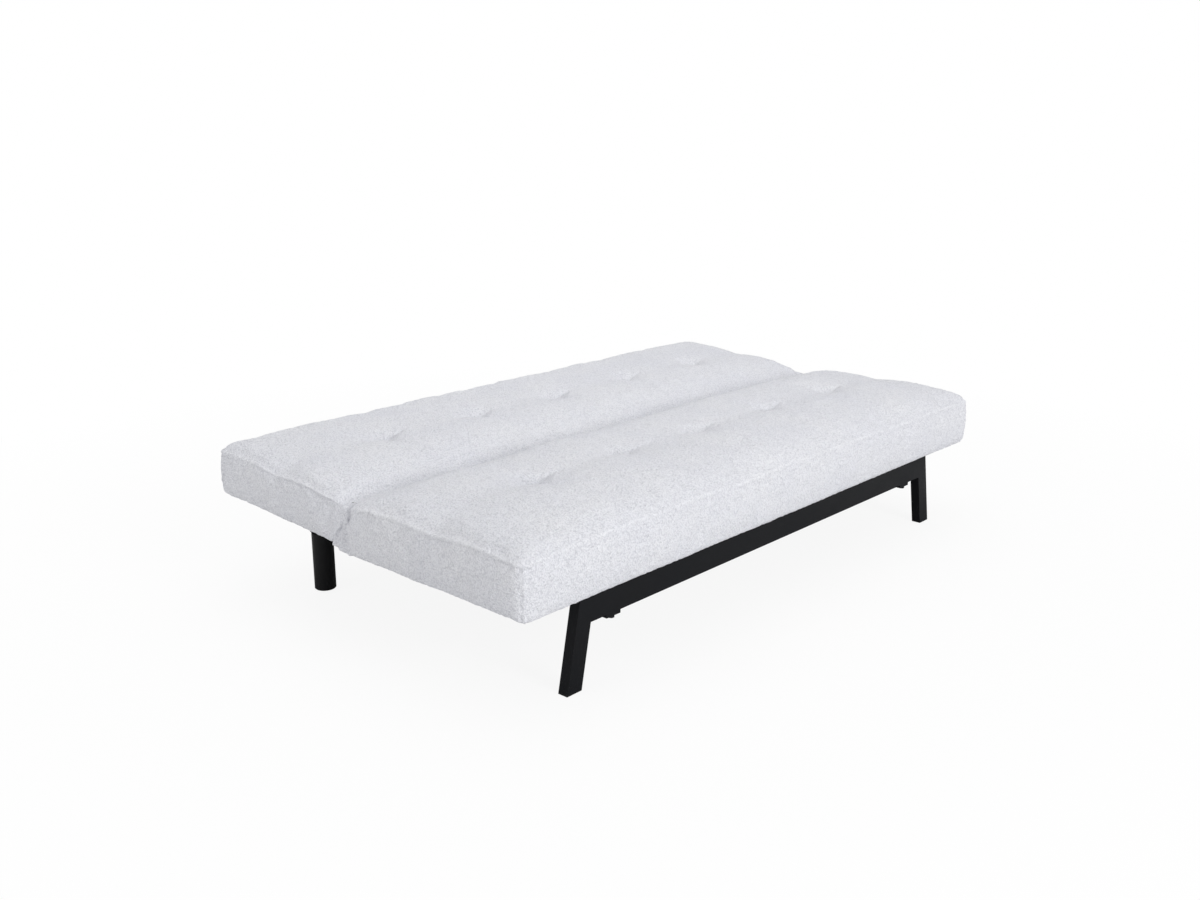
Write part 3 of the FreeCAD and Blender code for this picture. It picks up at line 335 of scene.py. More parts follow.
def seat_fold_side(floor, count):
    """Path down the seat's rear side: round the hollow that holds the back's roll, then straight down."""
    hollow = arc_points((FOLD_Y, FOLD_Z), ROLL_RADIUS + 0.0012, 130, 262)
    lowest = np.array([[hollow[-1][0], floor + 0.006], [hollow[-1][0] - 0.002, floor + 0.0015],
                       [hollow[-1][0] - 0.006, floor]])
    return evenly(np.concatenate([hollow, lowest]), count)


def back_fold_side(floor, count):
    """Path down the back's front side: over the roll about the fold axis, then aslant to the bottom edge."""
    roll = arc_points((FOLD_Y, FOLD_Z), ROLL_RADIUS - 0.0004, 47.4, 262)
    foot_y = FOLD_Y - FOLD_GAP / 2 + 0.06
    slant = np.array([[foot_y - 0.006, floor + 0.009], [foot_y, floor + 0.002], [foot_y + 0.005, floor]])
    return evenly(np.concatenate([roll, slant]), count)


def end_seam_lift(across):
    """Waviness of the seam along an end: up between its corners, down a little where the channel meets it."""
    lifts = [-0.006, -0.001, 0.004, -0.002, 0.004, 0.001, -0.003]
    return through([0, 0.12, 0.3, 0.5, 0.7, 0.9, 1], lifts, across)


def round_corners(x, y, near_y, far_y, near_radius, far_radius):
    """Rounds a rectangle's corners in plan: each corner's square is drawn into a quarter disc."""
    x, y = x.copy(), y.copy()
    middle = (near_y + far_y) / 2
    radius = np.where(y < middle, near_radius, far_radius)
    centre_x = HALF_LENGTH - radius
    centre_y = np.where(y < middle, near_y + radius, far_y - radius)
    toward = np.where(y < middle, -1.0, 1.0)
    a = np.clip((np.abs(x) - centre_x) / radius, 0, None)
    b = np.clip((y - centre_y) * toward / radius, 0, None)
    inside = (a > 0) & (b > 0)
    a1, b1 = np.minimum(a, 1.0), np.minimum(b, 1.0)
    x = np.where(inside, np.sign(x) * (centre_x + radius * a1 * np.sqrt(1 - b1**2 / 2) * a / a1.clip(1e-9)), x)
    y = np.where(inside, centre_y + toward * radius * b1 * np.sqrt(1 - a1**2 / 2) * b / b1.clip(1e-9), y)
    return x, y


class TuftRow:
    """A cushion's row of tufts on its channel, each a little off its even place."""

    def __init__(self, row_y, pitch, shift, count):
        number = np.arange(count)
        self.y, self.pitch = row_y, pitch
        self.places = (number - (count - 1) / 2) * pitch + shift + 0.005 * np.sin(2.1 * number + 0.6)
        self.lean = 0.005 * np.sin(2.4 * number + 1)

    def phase(self, x):
        """Place along the row in pitches, a whole number at each tuft."""
        first, last = self.places[0], self.places[-1]
        beyond = np.where(x < first, (x - first) / self.pitch, np.clip((x - last) / self.pitch, 0, None))
        return np.interp(x, self.places, np.arange(len(self.places))) + beyond

    def line(self, x):
        """The stitched line: it sways to the front between tufts as the padding pulls it."""
        phase = self.phase(x)
        return self.y - 0.009 * np.sin(math.pi * phase) ** 2 + 0.003 * np.sin(2.3 * phase + 1)


def tuft_pull(x, y, row, sizes):
    """Depth of the row of tufts: each is a four-pointed star, its creases along the row and across it.

    Shares of the reach along and across, each to the power 0.85, are added, and the sum is taken to the power
    1 / 0.85. The star is one less that, to the power 1.35, and a soft bell of 0.3 of its depth lies round."""
    pull = np.zeros_like(x)
    for place, lean in zip(row.places, row.lean):
        along = np.abs(x - place) / sizes.tuft_reach
        across = np.abs(y - row.y - lean) / (0.8 * sizes.tuft_reach)
        star = (along**0.85 + across**0.85) ** (1 / 0.85)
        pull = np.maximum(pull, np.clip(1 - star, 0, 1) ** 1.35 + 0.3 * np.exp(-(along**2 + across**2) / 1.4))
    return pull * sizes.tuft_depth


def channel_dip(x, y, row, sizes):
    """Depth of the stitched line: a soft valley with a narrow crease in it, sharpest beside the tufts."""
    off = y - row.line(x)
    near = np.cos(math.pi * row.phase(x)) ** 2
    crease = np.exp(-np.abs(off) / 0.007) * (0.3 + 0.7 * near**2)
    return sizes.channel_depth * (0.6 * bell(off, 0.042) + 0.45 * crease)


def bell(distance, width):
    """One at no distance, falling as a bell: e to the power of minus the squared distance in widths."""
    return np.exp(-((distance / width) ** 2))


def eased(distance, run):
    """From none at a seam to one at the end of a run, quick at first: one less the square of what is left."""
    return 1 - (1 - np.clip(distance / run, 0, 1)) ** 2


def crowned(x, from_edge, profile, sizes):
    """Rise of a top panel: one part stands up at once beside the seams, the rest slowly from the ends."""
    from_end = HALF_LENGTH - np.abs(x)
    beside = np.minimum(sizes.edge_rise * eased(from_edge, sizes.edge_run), profile)
    return beside * eased(from_end, sizes.edge_run) + (profile - beside) * eased(from_end, sizes.crown_run)


def seat_top(x, across, sizes):
    """Rise of the seat's top panel over its seam at a share of its depth, with its steep fall into the fold."""
    crown = sizes.seat_crown
    profile = through([0, 0.02, 0.05, 0.1, 0.18, 0.3, 0.5, 0.72, 0.87, 0.93, 1],
                      crown * np.array([0, 0.27, 0.45, 0.65, 0.84, 1, 0.97, 0.99, 0.76, 0.46, 0]), across)
    return crowned(x, np.minimum(across, 1.3 * (1 - across)) * 0.588, profile, sizes)


def back_top(x, across, sizes):
    """Rise of the back's top panel over its seam, from the fold to its rear edge."""
    crown = sizes.back_crown
    profile = through([0, 0.07, 0.14, 0.3, 0.5, 0.72, 0.83, 0.924, 0.962, 0.985, 1],
                      crown * np.array([0, 0.5, 0.78, 1.03, 0.98, 0.9, 0.79, 0.68, 0.49, 0.24, 0]), across)
    return crowned(x, np.minimum(1.3 * across, 1 - across) * BACK_DEPTH, profile, sizes)


def cover_points(columns, rows, near, far, inner_floor, top_rise, fold_near, sizes):
    """Points of a cover: rings between the paths down its near and far sides, and the top panel with its crown.

    A ring's point lies at a share s along the length and t across: x is the half length times 2s - 1, and the
    rest runs straight from the near path's point to the far path's. Inside the last rings the cover turns up
    round the timber. It returns the points, s, t, the ring's number, and which points are the top panel's."""
    loop = rim_loop(columns, rows)
    j, i = np.meshgrid(np.arange(rows + 1), np.arange(columns + 1), indexing="ij")
    s = np.concatenate([i.ravel() / columns] + [loop[:, 0] / columns] * (len(near) + 2))
    t = np.concatenate([j.ravel() / rows] + [loop[:, 1] / rows] * (len(near) + 2))
    count = len(loop)
    level = np.concatenate([np.zeros(i.size, int), np.repeat(np.arange(1, len(near)), count),
                            np.full(3 * count, len(near) - 1)])
    down = level / (len(near) - 1)
    x = HALF_LENGTH * (2 * s - 1)
    y = near[level, 0] + (far[level, 0] - near[level, 0]) * t
    z = near[level, 1] + (far[level, 1] - near[level, 1]) * t
    on_end = np.clip(1 - (HALF_LENGTH - np.abs(x)) / 0.25, 0, 1) ** 2
    wave_pitch, wave_seed = 0.19, 5
    wander = smooth_noise(np.stack([x, y * 0.3, np.zeros_like(x)], axis=1), wave_pitch, wave_seed)
    wave = (sizes.back_wave if fold_near else sizes.seat_wave) * wander
    z += (1 - down) ** 1.5 * (on_end * end_seam_lift(t) + (1 - on_end) * wave)
    edge = sizes.edge_radius
    under = np.clip((down - 0.86) / 0.14, 0, 1)
    bow = sizes.side_bow * 0.8 * np.sin(math.pi * np.clip(down, 0, 1))
    on_side = (s == 0) | (s == 1)
    x += np.where(on_side, np.sign(x) * (bow - edge * under**2), 0)
    x = np.where(~on_side & (level > 0), x * (HALF_LENGTH - edge * under**2) / HALF_LENGTH, x)
    top = np.arange(len(x)) < i.size
    z[top] += top_rise(x[top], t[top], sizes)
    small, large = 0.008, sizes.corner_radius
    near_radius, far_radius = (small, large) if fold_near else (large, small)
    x, y = round_corners(x, y, near[0, 0], far[0, 0], near_radius, far_radius)
    inner = len(x) - 3 * count
    lap = DUST_COVER_LAP
    half_x = HALF_LENGTH - END_WALL - lap
    near_y, far_y = near[-1, 0] + COVER_WALL - edge + lap, far[-1, 0] - COVER_WALL + edge - lap
    if fold_near:
        near_y = near[-1, 0] + 0.009 + lap
    else:
        far_y = far[-1, 0] - 0.011 - lap
    for ring, height in ((0, 0.0), (1, 0.0), (2, inner_floor)):
        part = slice(inner + ring * count, inner + (ring + 1) * count)
        share = 0.5 if ring == 0 else 1.0
        goal_x = half_x * (2 * s[part] - 1)
        goal_y = near_y + (far_y - near_y) * t[part]
        floor_z = near[-1, 1] + (far[-1, 1] - near[-1, 1]) * t[part]
        for values, goal in ((x, goal_x), (y, goal_y)):
            values[part] = values[part] * (1 - share) + goal * share
        z[part] = floor_z + height - 0.0008
    return np.stack([x, y, z], axis=1), s, t, level, top


def edge_distance(s, t, depth):
    """Distances in metres from the nearest edge of the top panel, its nearer end and its nearer long edge."""
    along = np.minimum(s, 1 - s) * 2 * HALF_LENGTH
    across = np.minimum(t, 1 - t) * depth
    return np.minimum(along, across), along, across


def beside_fold(t, fold_near):
    """Whether a point lies on the half of a cushion that the fold is on."""
    return (t < 0.5) if fold_near else (t > 0.5)


def plump(piece, held, pressure, cap):
    """Swells a cover as cloth under pressure, held where it is stitched or stapled, and caps its movement."""
    start = coordinates(piece.data)
    group = piece.vertex_groups.new(name="Held")
    for weight in np.unique(np.round(held, 1)):
        if weight > 0:
            group.add(np.flatnonzero(np.round(held, 1) == weight).tolist(), float(weight), "REPLACE")
    cloth = piece.modifiers.new("Swelling", "CLOTH")
    pile_cloth = {"quality": 4, "mass": 0.3, "tension_stiffness": 40, "compression_stiffness": 40,
                  "shear_stiffness": 10, "bending_stiffness": 2.0, "shrink_min": -0.012, "use_pressure": True,
                  "uniform_pressure_force": pressure, "vertex_group_mass": "Held"}
    for setting, value in pile_cloth.items():
        setattr(cloth.settings, setting, value)
    cloth.settings.effector_weights.gravity = 0
    cloth.point_cache.frame_start, cloth.point_cache.frame_end = 1, SWELLING_FRAMES
    scene = bpy.context.scene
    for number in range(1, SWELLING_FRAMES + 1):
        scene.frame_set(number)
    graph = bpy.context.evaluated_depsgraph_get()
    swollen = coordinates(piece.evaluated_get(graph).data)
    scene.frame_set(1)
    piece.modifiers.clear()
    piece.vertex_groups.clear()
    move = swollen - start
    far = np.linalg.norm(move, axis=1)
    limit = cap * np.tanh(far / cap) / np.maximum(far, 1e-9)
    place_points(piece.data, start + move * limit[:, None])


def sew_cover(name, near, far, inner_floor, top_rise, fold_near, row, body, sizes, material, seed):
    """Makes one cushion's cover: grid, swelling, subdivision, then tufts, channel, seams, puckers and nap."""
    depth = abs(far[0, 0] - near[0, 0])
    columns = int(round(2 * HALF_LENGTH / sizes.grid_pitch))
    rows = int(round(depth / sizes.grid_pitch))
    points, s, t, level, top = cover_points(columns, rows, near, far, inner_floor, top_rise, fold_near, sizes)
    faces = cover_faces(columns, rows, len(near) + 2)
    piece = new_piece(name, points, faces, material)
    wall_height = near[0, 1] - near[-1, 1]
    off, _, across = edge_distance(s, t, depth)
    ring = np.where(top, 0, level) / (len(near) - 1)
    ring[len(ring) - 3 * len(rim_loop(columns, rows)):] = 1.3
    tuft_hold, fold_hold, fold_fade = 0.024, 0.085, 0.04
    near_tuft = np.max([np.exp(-(((points[:, 0] - place) ** 2 + (points[:, 1] - row.y) ** 2) / tuft_hold**2))
                        for place in row.places], axis=0) * top
    stapled, seam = np.where(ring >= 0.99, 1.0, 0.0), np.where(top & (off < 0.001), 0.5, 0.0)
    held = np.maximum.reduce([stapled, near_tuft, seam])
    fold_side = beside_fold(t, fold_near)
    held = np.where(fold_side & (np.abs(t - 0.5) > 0.495) & ~top, 1.0, held)
    held = np.maximum(held, np.where(fold_side & top, np.clip((fold_hold - across) / fold_fade, 0, 1), 0))
    for label, values in (("ring", ring), ("s", s), ("t", t), ("is_top", top.astype(float))):
        set_values(piece.data, label, values)
    plump(piece, held, pressure=4.0, cap=0.0055)
    subdivided(piece, 2)
    detail_cover(piece, depth, wall_height, fold_near, row, sizes, seed)
    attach(piece, body)
    return piece


def nap_clumps(points, seed):
    """Heights of the nap's clumps from about -1 to 1: coarse ones and, more strongly, fine ones."""
    return 0.35 * smooth_noise(points, 0.0115, seed) + 0.65 * smooth_noise(points, 0.0075, seed + 1)


def detail_cover(piece, depth, wall_height, fold_near, row, sizes, seed):
    """Moves the fine grid: tufts and channel down, and seam allowance, puckers and nap along the normal."""
    mesh = piece.data
    points, out = coordinates(mesh), normals(mesh)
    labels = ("s", "t", "ring", "is_top")
    s, t, ring, on_top = (get_values(mesh, label) for label in labels)
    off, along, across = edge_distance(s, t, depth)
    x, y = points[:, 0], points[:, 1]
    crest = np.clip(off / 0.05, 0, 1) * np.clip(on_top, 0, 1)
    reach_end = (0.35 + 0.65 * np.clip(along / 0.03, 0, 1)) * (0.4 + 0.6 * eased(along, 0.3))
    sink = crest * tuft_pull(x, y, row, sizes) + on_top * reach_end * channel_dip(x, y, row, sizes)
    fold_side = beside_fold(t, fold_near)
    lip = np.where(fold_side & (ring < 0.1), bell(across, 0.022), 0.0)
    points[:, 2] -= sink + 0.002 * lip
    seam_gap = np.where(on_top > 0.5, off, ring * wall_height)
    seamless = fold_side & (across < 0.03) & (along > 0.012)
    welt = np.where(seamless, 0.0, bell(seam_gap, 0.0032) - 0.25 * bell(seam_gap - 0.009, 0.005))
    ripple = 1 + 0.45 * smooth_noise(points, 0.035, seed + 11)
    move = sizes.welt * welt * ripple
    corner = np.maximum(np.minimum(s, 1 - s) * 2 * HALF_LENGTH, np.minimum(t, 1 - t) * depth)
    wall = (on_top < 0.5) & (ring < 1.02)
    pucker = bell(corner, 0.004) - 0.9 * bell(corner - 0.009, 0.006)
    gathers = 0.45 + 0.4 * np.sin(ring * 31 + 3 * smooth_noise(points, 0.05, seed + 3))
    outer_corner = (t > 0.5) if fold_near else (t < 0.5)
    move += np.where(wall & outer_corner, sizes.welt * pucker * gathers, 0)
    buckle = smooth_noise(points * np.array([1, 1, 0.45]), 0.045, seed + 21)
    move += 0.0011 * buckle * bell(seam_gap, 0.03)
    move += 0.0014 * smooth_noise(points, 0.11, seed + 5) * (ring < 1.02)
    clump = nap_clumps(points, seed)
    visible = np.clip((1.15 - ring) / 0.1, 0, 1)
    move += sizes.nap * clump * visible
    calm = np.where(fold_side, np.clip((across - 0.008) / 0.04, 0.12, 1), 1.0)
    points += out * (move * calm)[:, None]
    place_points(mesh, points)
    # The stored clump values carry a painted highlight: they are raised along the seams, so the seams are
    # coloured lighter.
    set_values(mesh, "clump", clump + 2.2 * np.clip(welt, 0, 1))
    for label in labels:
        mesh.attributes.remove(mesh.attributes[label])


# Node groups and materials
def fill(tree, made, inputs):
    """Fills a node's inputs: a socket is linked, and anything else becomes the input's own value."""
    for key, value in inputs.items():
        if isinstance(value, bpy.types.NodeSocket):
            tree.links.new(value, made.inputs[key])
        else:
            made.inputs[key].default_value = value


def node(tree, kind, inputs, **settings):
    """Adds a node, sets its properties and fills its inputs."""
    made = tree.nodes.new(kind)
    for key, value in settings.items():
        setattr(made, key, value)
    fill(tree, made, inputs)
    return made


def maths(tree, operation, first, second=0.0):
    """One step of arithmetic between sockets or numbers."""
    return node(tree, "ShaderNodeMath", {0: first, 1: second}, operation=operation).outputs[0]


def spread(tree, value, low, high, out_low=0.0, out_high=1.0):
    """Maps a value from one range to another, held at its ends."""
    ends = {"From Min": low, "From Max": high, "To Min": out_low, "To Max": out_high}
    return node(tree, "ShaderNodeMapRange", {"Value": value, **ends}).outputs[0]


def colour_mix(tree, share, first, second, blend="MIX"):
    """Mixes two colours by a share."""
    mixed = node(tree, "ShaderNodeMix", {0: share, 6: first, 7: second}, data_type="RGBA", blend_type=blend)
    return mixed.outputs[2]


def noise(tree, place, scale, detail, output="Fac", **more):
    """Cloudy noise, its scale in clouds per metre."""
    inputs = {"Vector": place, "Scale": scale, "Detail": detail, **more}
    return node(tree, "ShaderNodeTexNoise", inputs).outputs[output]


def bump(tree, height, distance, strength):
    """The normal of a surface with small heights on it."""
    made = node(tree, "ShaderNodeBump", {"Height": height, "Strength": strength, "Distance": distance})
    return made.outputs["Normal"]


def new_group(name, numbers, results):
    """A node group that takes a place and named numbers and puts out named values, and its two end nodes."""
    group = bpy.data.node_groups.new(name, "ShaderNodeTree")
    group.interface.new_socket("Place", in_out="INPUT", socket_type="NodeSocketVector")
    for label, default in numbers.items():
        socket = group.interface.new_socket(label, in_out="INPUT", socket_type="NodeSocketFloat")
        socket.default_value = default
    for label in results:
        group.interface.new_socket(label, in_out="OUTPUT", socket_type="NodeSocketFloat")
    return group, group.nodes.new("NodeGroupInput").outputs, group.nodes.new("NodeGroupOutput")


def boucle_group():
    """Curly nap: rounded loops in bent cells, with fine fibres on them and slow clumps under them."""
    numbers = {"Loops per metre": 210.0, "Bend": 0.004}
    group, given, result = new_group("Curly nap", numbers, ("Tips", "Height"))
    place, pitch = given["Place"], given["Loops per metre"]
    bend = noise(group, place, 150.0, 2.0, "Color")
    centred = node(group, "ShaderNodeVectorMath", {0: bend, 1: (0.5, 0.5, 0.5)}, operation="SUBTRACT")
    scaled = node(group, "ShaderNodeVectorMath", {0: centred.outputs[0], "Scale": given["Bend"]},
                  operation="SCALE")
    bent = node(group, "ShaderNodeVectorMath", {0: place, 1: scaled.outputs[0]}).outputs[0]
    cells = {"Vector": bent, "Scale": pitch, "Smoothness": 0.35}
    loops = node(group, "ShaderNodeTexVoronoi", cells, feature="SMOOTH_F1").outputs["Distance"]
    rounded = maths(group, "SUBTRACT", 1.0, maths(group, "MULTIPLY", loops, loops))
    fibres = noise(group, bent, maths(group, "MULTIPLY", pitch, 3.1), 3.0, Distortion=1.2)
    clumps = noise(group, place, maths(group, "MULTIPLY", pitch, 0.3), 2.0)
    height = maths(group, "ADD", maths(group, "MULTIPLY", rounded, 0.62), maths(group, "MULTIPLY", fibres, 0.3))
    height = maths(group, "ADD", height, maths(group, "MULTIPLY", clumps, 0.16))
    fill(group, result, {"Height": height, "Tips": spread(group, height, 0.5, 0.98)})
    return group


def grain_group():
    """Fine grain of a moulded or sprayed skin: small even dimples, and slow patches where it was handled."""
    numbers = {"Dimples per metre": 900.0, "Patches per metre": 9.0}
    group, given, result = new_group("Fine grain", numbers, ("Height", "Patches"))
    dimples = noise(group, given["Place"], given["Dimples per metre"], 2.0, Roughness=0.6)
    patches = noise(group, given["Place"], given["Patches per metre"], 5.0, Distortion=0.4)
    fill(group, result, {"Height": dimples, "Patches": spread(group, patches, 0.3, 0.7)})
    return group


def timber_group():
    """Growth bands along the length of a board, bent by noise, with short pores."""
    group, given, result = new_group("Timber bands", {"Bands per metre": 60.0}, ("Bands", "Pores"))
    stretch = {"Vector": given["Place"], "Scale": (0.06, 1.0, 1.0)}
    drawn = node(group, "ShaderNodeMapping", stretch).outputs[0]
    rings = {"Vector": drawn, "Scale": given["Bands per metre"], "Distortion": 6.0, "Detail": 3.0,
             "Detail Scale": 1.2}
    bands = node(group, "ShaderNodeTexWave", rings, wave_type="BANDS", bands_direction="Y").outputs["Fac"]
    fill(group, result, {"Bands": bands, "Pores": noise(group, drawn, 900.0, 3.0)})
    return group


def weave_group():
    """Plain weave: two sets of round threads, each over the other in turn."""
    group, given, result = new_group("Plain weave", {"Threads per metre": 500.0}, ("Height", "Gaps"))
    place, pitch = given["Place"], given["Threads per metre"]
    over = node(group, "ShaderNodeTexChecker", {"Vector": place, "Scale": pitch}).outputs["Fac"]
    turn = maths(group, "MULTIPLY", pitch, math.pi)
    split = node(group, "ShaderNodeSeparateXYZ", {0: place})
    along, across = (maths(group, "ABSOLUTE", maths(group, "SINE", maths(group, "MULTIPLY", part, turn)))
                     for part in split.outputs[:2])
    under = maths(group, "SUBTRACT", 1.0, over)
    height = maths(group, "ADD", maths(group, "MULTIPLY", along, over), maths(group, "MULTIPLY", across, under))
    fill(group, result, {"Height": height, "Gaps": spread(group, height, 0.0, 0.5)})
    return group


def placed(tree, name, make, inputs):
    """Outputs of a node group, placed in a material. The group of that name is made on first use."""
    group = bpy.data.node_groups.get(name) or make()
    return node(tree, "ShaderNodeGroup", inputs, node_tree=group).outputs


def new_material(name):
    """A node material, its tree, its Principled shader and the object's own coordinates."""
    material = bpy.data.materials.new(name)
    material.use_nodes = True
    tree = material.node_tree
    place = node(tree, "ShaderNodeTexCoord", {}).outputs["Object"]
    return material, tree, tree.nodes["Principled BSDF"], place


def opaque(value, share=1.0):
    """A share of a colour, with full opacity."""
    return (*(share * part for part in value), 1.0)


def boucle_material(colours):
    """White bouclé: the yarn's white on the tips, painted shade in the greyer depths, a painted highlight along
    the seams, a soft sheen at grazing angles, and no gloss.
    """
    material, tree, shader, place = new_material("White boucle")
    numbers = {"Place": place, "Loops per metre": 250.0, "Bend": 0.005}
    nap = placed(tree, "Curly nap", boucle_group, numbers)
    # The clump attribute holds the nap's clumps and, along the cushions' seams, a painted highlight.
    clump = node(tree, "ShaderNodeAttribute", {}, attribute_name="clump").outputs["Fac"]
    # The tips' share sets the colour. Where it is low, the yarn is painted in the depths' grey as painted shade.
    # The stored clump values raise it on the clumps' tops, and along the seams they add a painted highlight.
    tips = maths(tree, "ADD", nap["Tips"], maths(tree, "MULTIPLY", clump, 0.1))
    tips = node(tree, "ShaderNodeClamp", {0: tips}).outputs[0]
    # Yarn colour with painted shade in the depths and a painted highlight on the clumps and seams.
    yarn_with_painted_light = colour_mix(tree, tips, opaque(colours.boucle_painted_shade), opaque(colours.boucle_light))
    slow = spread(tree, noise(tree, place, 7.0, 3.0), 0.3, 0.7, 0.0, 0.5)
    fill(tree, shader, {
        "Base Color": colour_mix(tree, slow, yarn_with_painted_light, (0.93, 0.935, 0.97, 1), "MULTIPLY"),
        "Roughness": spread(tree, nap["Tips"], 0, 1, 1.0, 0.88), "Specular IOR Level": 0.1,
        "Sheen Weight": 0.25, "Sheen Roughness": 0.6, "Sheen Tint": (0.95, 0.96, 1.0, 1.0),
        "Normal": bump(tree, nap["Height"], 0.004, 0.95)})
    return material


def grained_material(name, first, second, grain, gloss, relief, own, gloss_from=("Patches", 0.0, 1.0)):
    """A finish with the fine grain: two close colours in slow patches, a gloss that varies, and a low relief.

    The grain is its dimples and patches per metre, the gloss its roughness at both ends of the value it comes
    from, the relief the bump's distance and strength, and own the shader's other values."""
    material, tree, shader, place = new_material(name)
    numbers = {"Place": place, "Dimples per metre": grain[0], "Patches per metre": grain[1]}
    skin = placed(tree, "Fine grain", grain_group, numbers)
    source, low, high = gloss_from
    fill(tree, shader, {
        "Base Color": colour_mix(tree, skin["Patches"], first, second),
        "Roughness": spread(tree, skin[source], low, high, *gloss),
        "Normal": bump(tree, skin["Height"], *relief), **own})
    return material


def powder_coat_material(colours):
    """Black powder coat: a fine orange peel, and a half-matt gloss that varies where it was handled."""
    coat = colours.powder_coat
    return grained_material("Black powder coat", opaque(coat), opaque(coat, 1.35), (750.0, 7.0), (0.42, 0.54),
                            (0.0004, 0.35), {"Specular IOR Level": 0.09})


def moulded_material(name, base, gloss, dimples, depth):
    """A dark moulded skin with its own grain."""
    lifted = opaque(min(1.0, part * 1.4 + 0.001) for part in base)
    return grained_material(name, opaque(base), lifted, (dimples, 25.0), gloss, (depth, 0.5),
                            {"Specular IOR Level": 0.15})


def metal_material(name, base, gloss, strokes):
    """Bare or plated metal: drawn or tumbled marks in its roughness, and a faint cloudiness in its colour."""
    return grained_material(name, opaque(base, 0.7), opaque(base), (strokes, 90.0), gloss, (0.0002, 0.3),
                            {"Metallic": 1.0}, ("Height", 0.3, 0.7))


def timber_material(colours):
    """Planed softwood with growth bands along the boards."""
    material, tree, shader, place = new_material("Planed timber")
    bands = placed(tree, "Timber bands", timber_group, {"Place": place, "Bands per metre": 55.0})
    wood = colour_mix(tree, bands["Bands"], opaque(colours.timber_light), opaque(colours.timber_dark))
    pores = spread(tree, bands["Pores"], 0.55, 0.75, 0, 0.5)
    fill(tree, shader, {
        "Base Color": colour_mix(tree, pores, wood, (0.25, 0.16, 0.08, 1)),
        "Roughness": spread(tree, bands["Bands"], 0, 1, 0.62, 0.8),
        "Normal": bump(tree, bands["Pores"], 0.0004, 0.4)})
    return material


def webbing_material(colours):
    """Elastic webbing in a close plain weave."""
    material, tree, shader, place = new_material("Elastic webbing")
    weave = placed(tree, "Plain weave", weave_group, {"Place": place, "Threads per metre": 550.0})
    fill(tree, shader, {
        "Base Color": colour_mix(tree, weave["Gaps"], (0.012, 0.011, 0.011, 1), opaque(colours.webbing)),
        "Roughness": 0.85, "Normal": bump(tree, weave["Height"], 0.0008, 0.7)})
    return material


def dust_cloth_material(colours):
    """Thin black non-woven cloth: dots of the press that bonded it, and stray fibres."""
    material, tree, shader, place = new_material("Dust cloth")
    weave = placed(tree, "Plain weave", weave_group, {"Place": place, "Threads per metre": 420.0})
    fibres = noise(tree, place, 160.0, 6.0, Distortion=3.0)
    share = maths(tree, "MULTIPLY", weave["Gaps"], spread(tree, fibres, 0.35, 0.65, 0.3, 1.0))
    fill(tree, shader, {
        "Base Color": colour_mix(tree, share, (0.006, 0.006, 0.007, 1), opaque(colours.dust_cloth, 2.2)),
        "Roughness": spread(tree, fibres, 0.3, 0.7, 0.75, 0.95),
        "Normal": bump(tree, maths(tree, "ADD", weave["Height"], fibres), 0.0005, 0.5)})
    return material


def finish_nodes(names, material):
    """Gives frame pieces a finish."""
    for name in names:
        piece = frame["nodes"][name]
        if not piece.material_slots:
            piece.data.materials.append(material)
        for slot in piece.material_slots:
            slot.material = material


def tilted(points):
    """Turns points of the back about the fold axis by the rise that it has as a bed."""
    y, z = points[:, 1] - FOLD_Y, points[:, 2] - FOLD_Z
    cosine, sine = math.cos(TILT), math.sin(TILT)
    return np.stack([points[:, 0], FOLD_Y + y * cosine - z * sine, FOLD_Z + y * sine + z * cosine], axis=1)


# Operators
class SOFABED_OT_seat_cushion(Operator):
    """Makes the seat's bouclé cushion over its frame piece"""
    bl_idname = "sofabed.seat_cushion"
    bl_label = "Seat cushion"

    def execute(self, context):
        sizes = context.scene.sofabed_sizes
        near = outer_side(FRONT_Y + sizes.side_bow, sizes.seat_seam, SEAT_FLOOR, -1, sizes, SEAT_RINGS)
        far = seat_fold_side(SEAT_FLOOR, SEAT_RINGS)
        row = TuftRow(FRONT_Y + sizes.side_bow + SEAT_TUFT_ROW, sizes.seat_pitch, -0.022, sizes.tuft_count)
        piece = sew_cover("Front_cushion", near, far, SEAT_TURN_UP, seat_top, False, row, "base", sizes,
                          bpy.data.materials["White boucle"], SEAT_SEED)
        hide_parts("seat_cushion")
        return {"FINISHED"}


class SOFABED_OT_back_cushion(Operator):
    """Makes the back's bouclé cushion over its frame piece"""
    bl_idname = "sofabed.back_cushion"
    bl_label = "Back cushion"

    def execute(self, context):
        sizes = context.scene.sofabed_sizes
        near = back_fold_side(BACK_FLOOR, BACK_RINGS)
        far = outer_side(FOLD_LIP + BACK_DEPTH, sizes.back_seam, BACK_FLOOR, 1, sizes, BACK_RINGS)
        row = TuftRow(FOLD_LIP + BACK_DEPTH / 2, sizes.back_pitch, 0.004, sizes.tuft_count)
        piece = sew_cover("Rear_cushion", near, far, BACK_TURN_UP, back_top, True, row, "back", sizes,
                          bpy.data.materials["White boucle"], BACK_SEED)
        place_points(piece.data, tilted(coordinates(piece.data)))
        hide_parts("back_cushion")
        return {"FINISHED"}


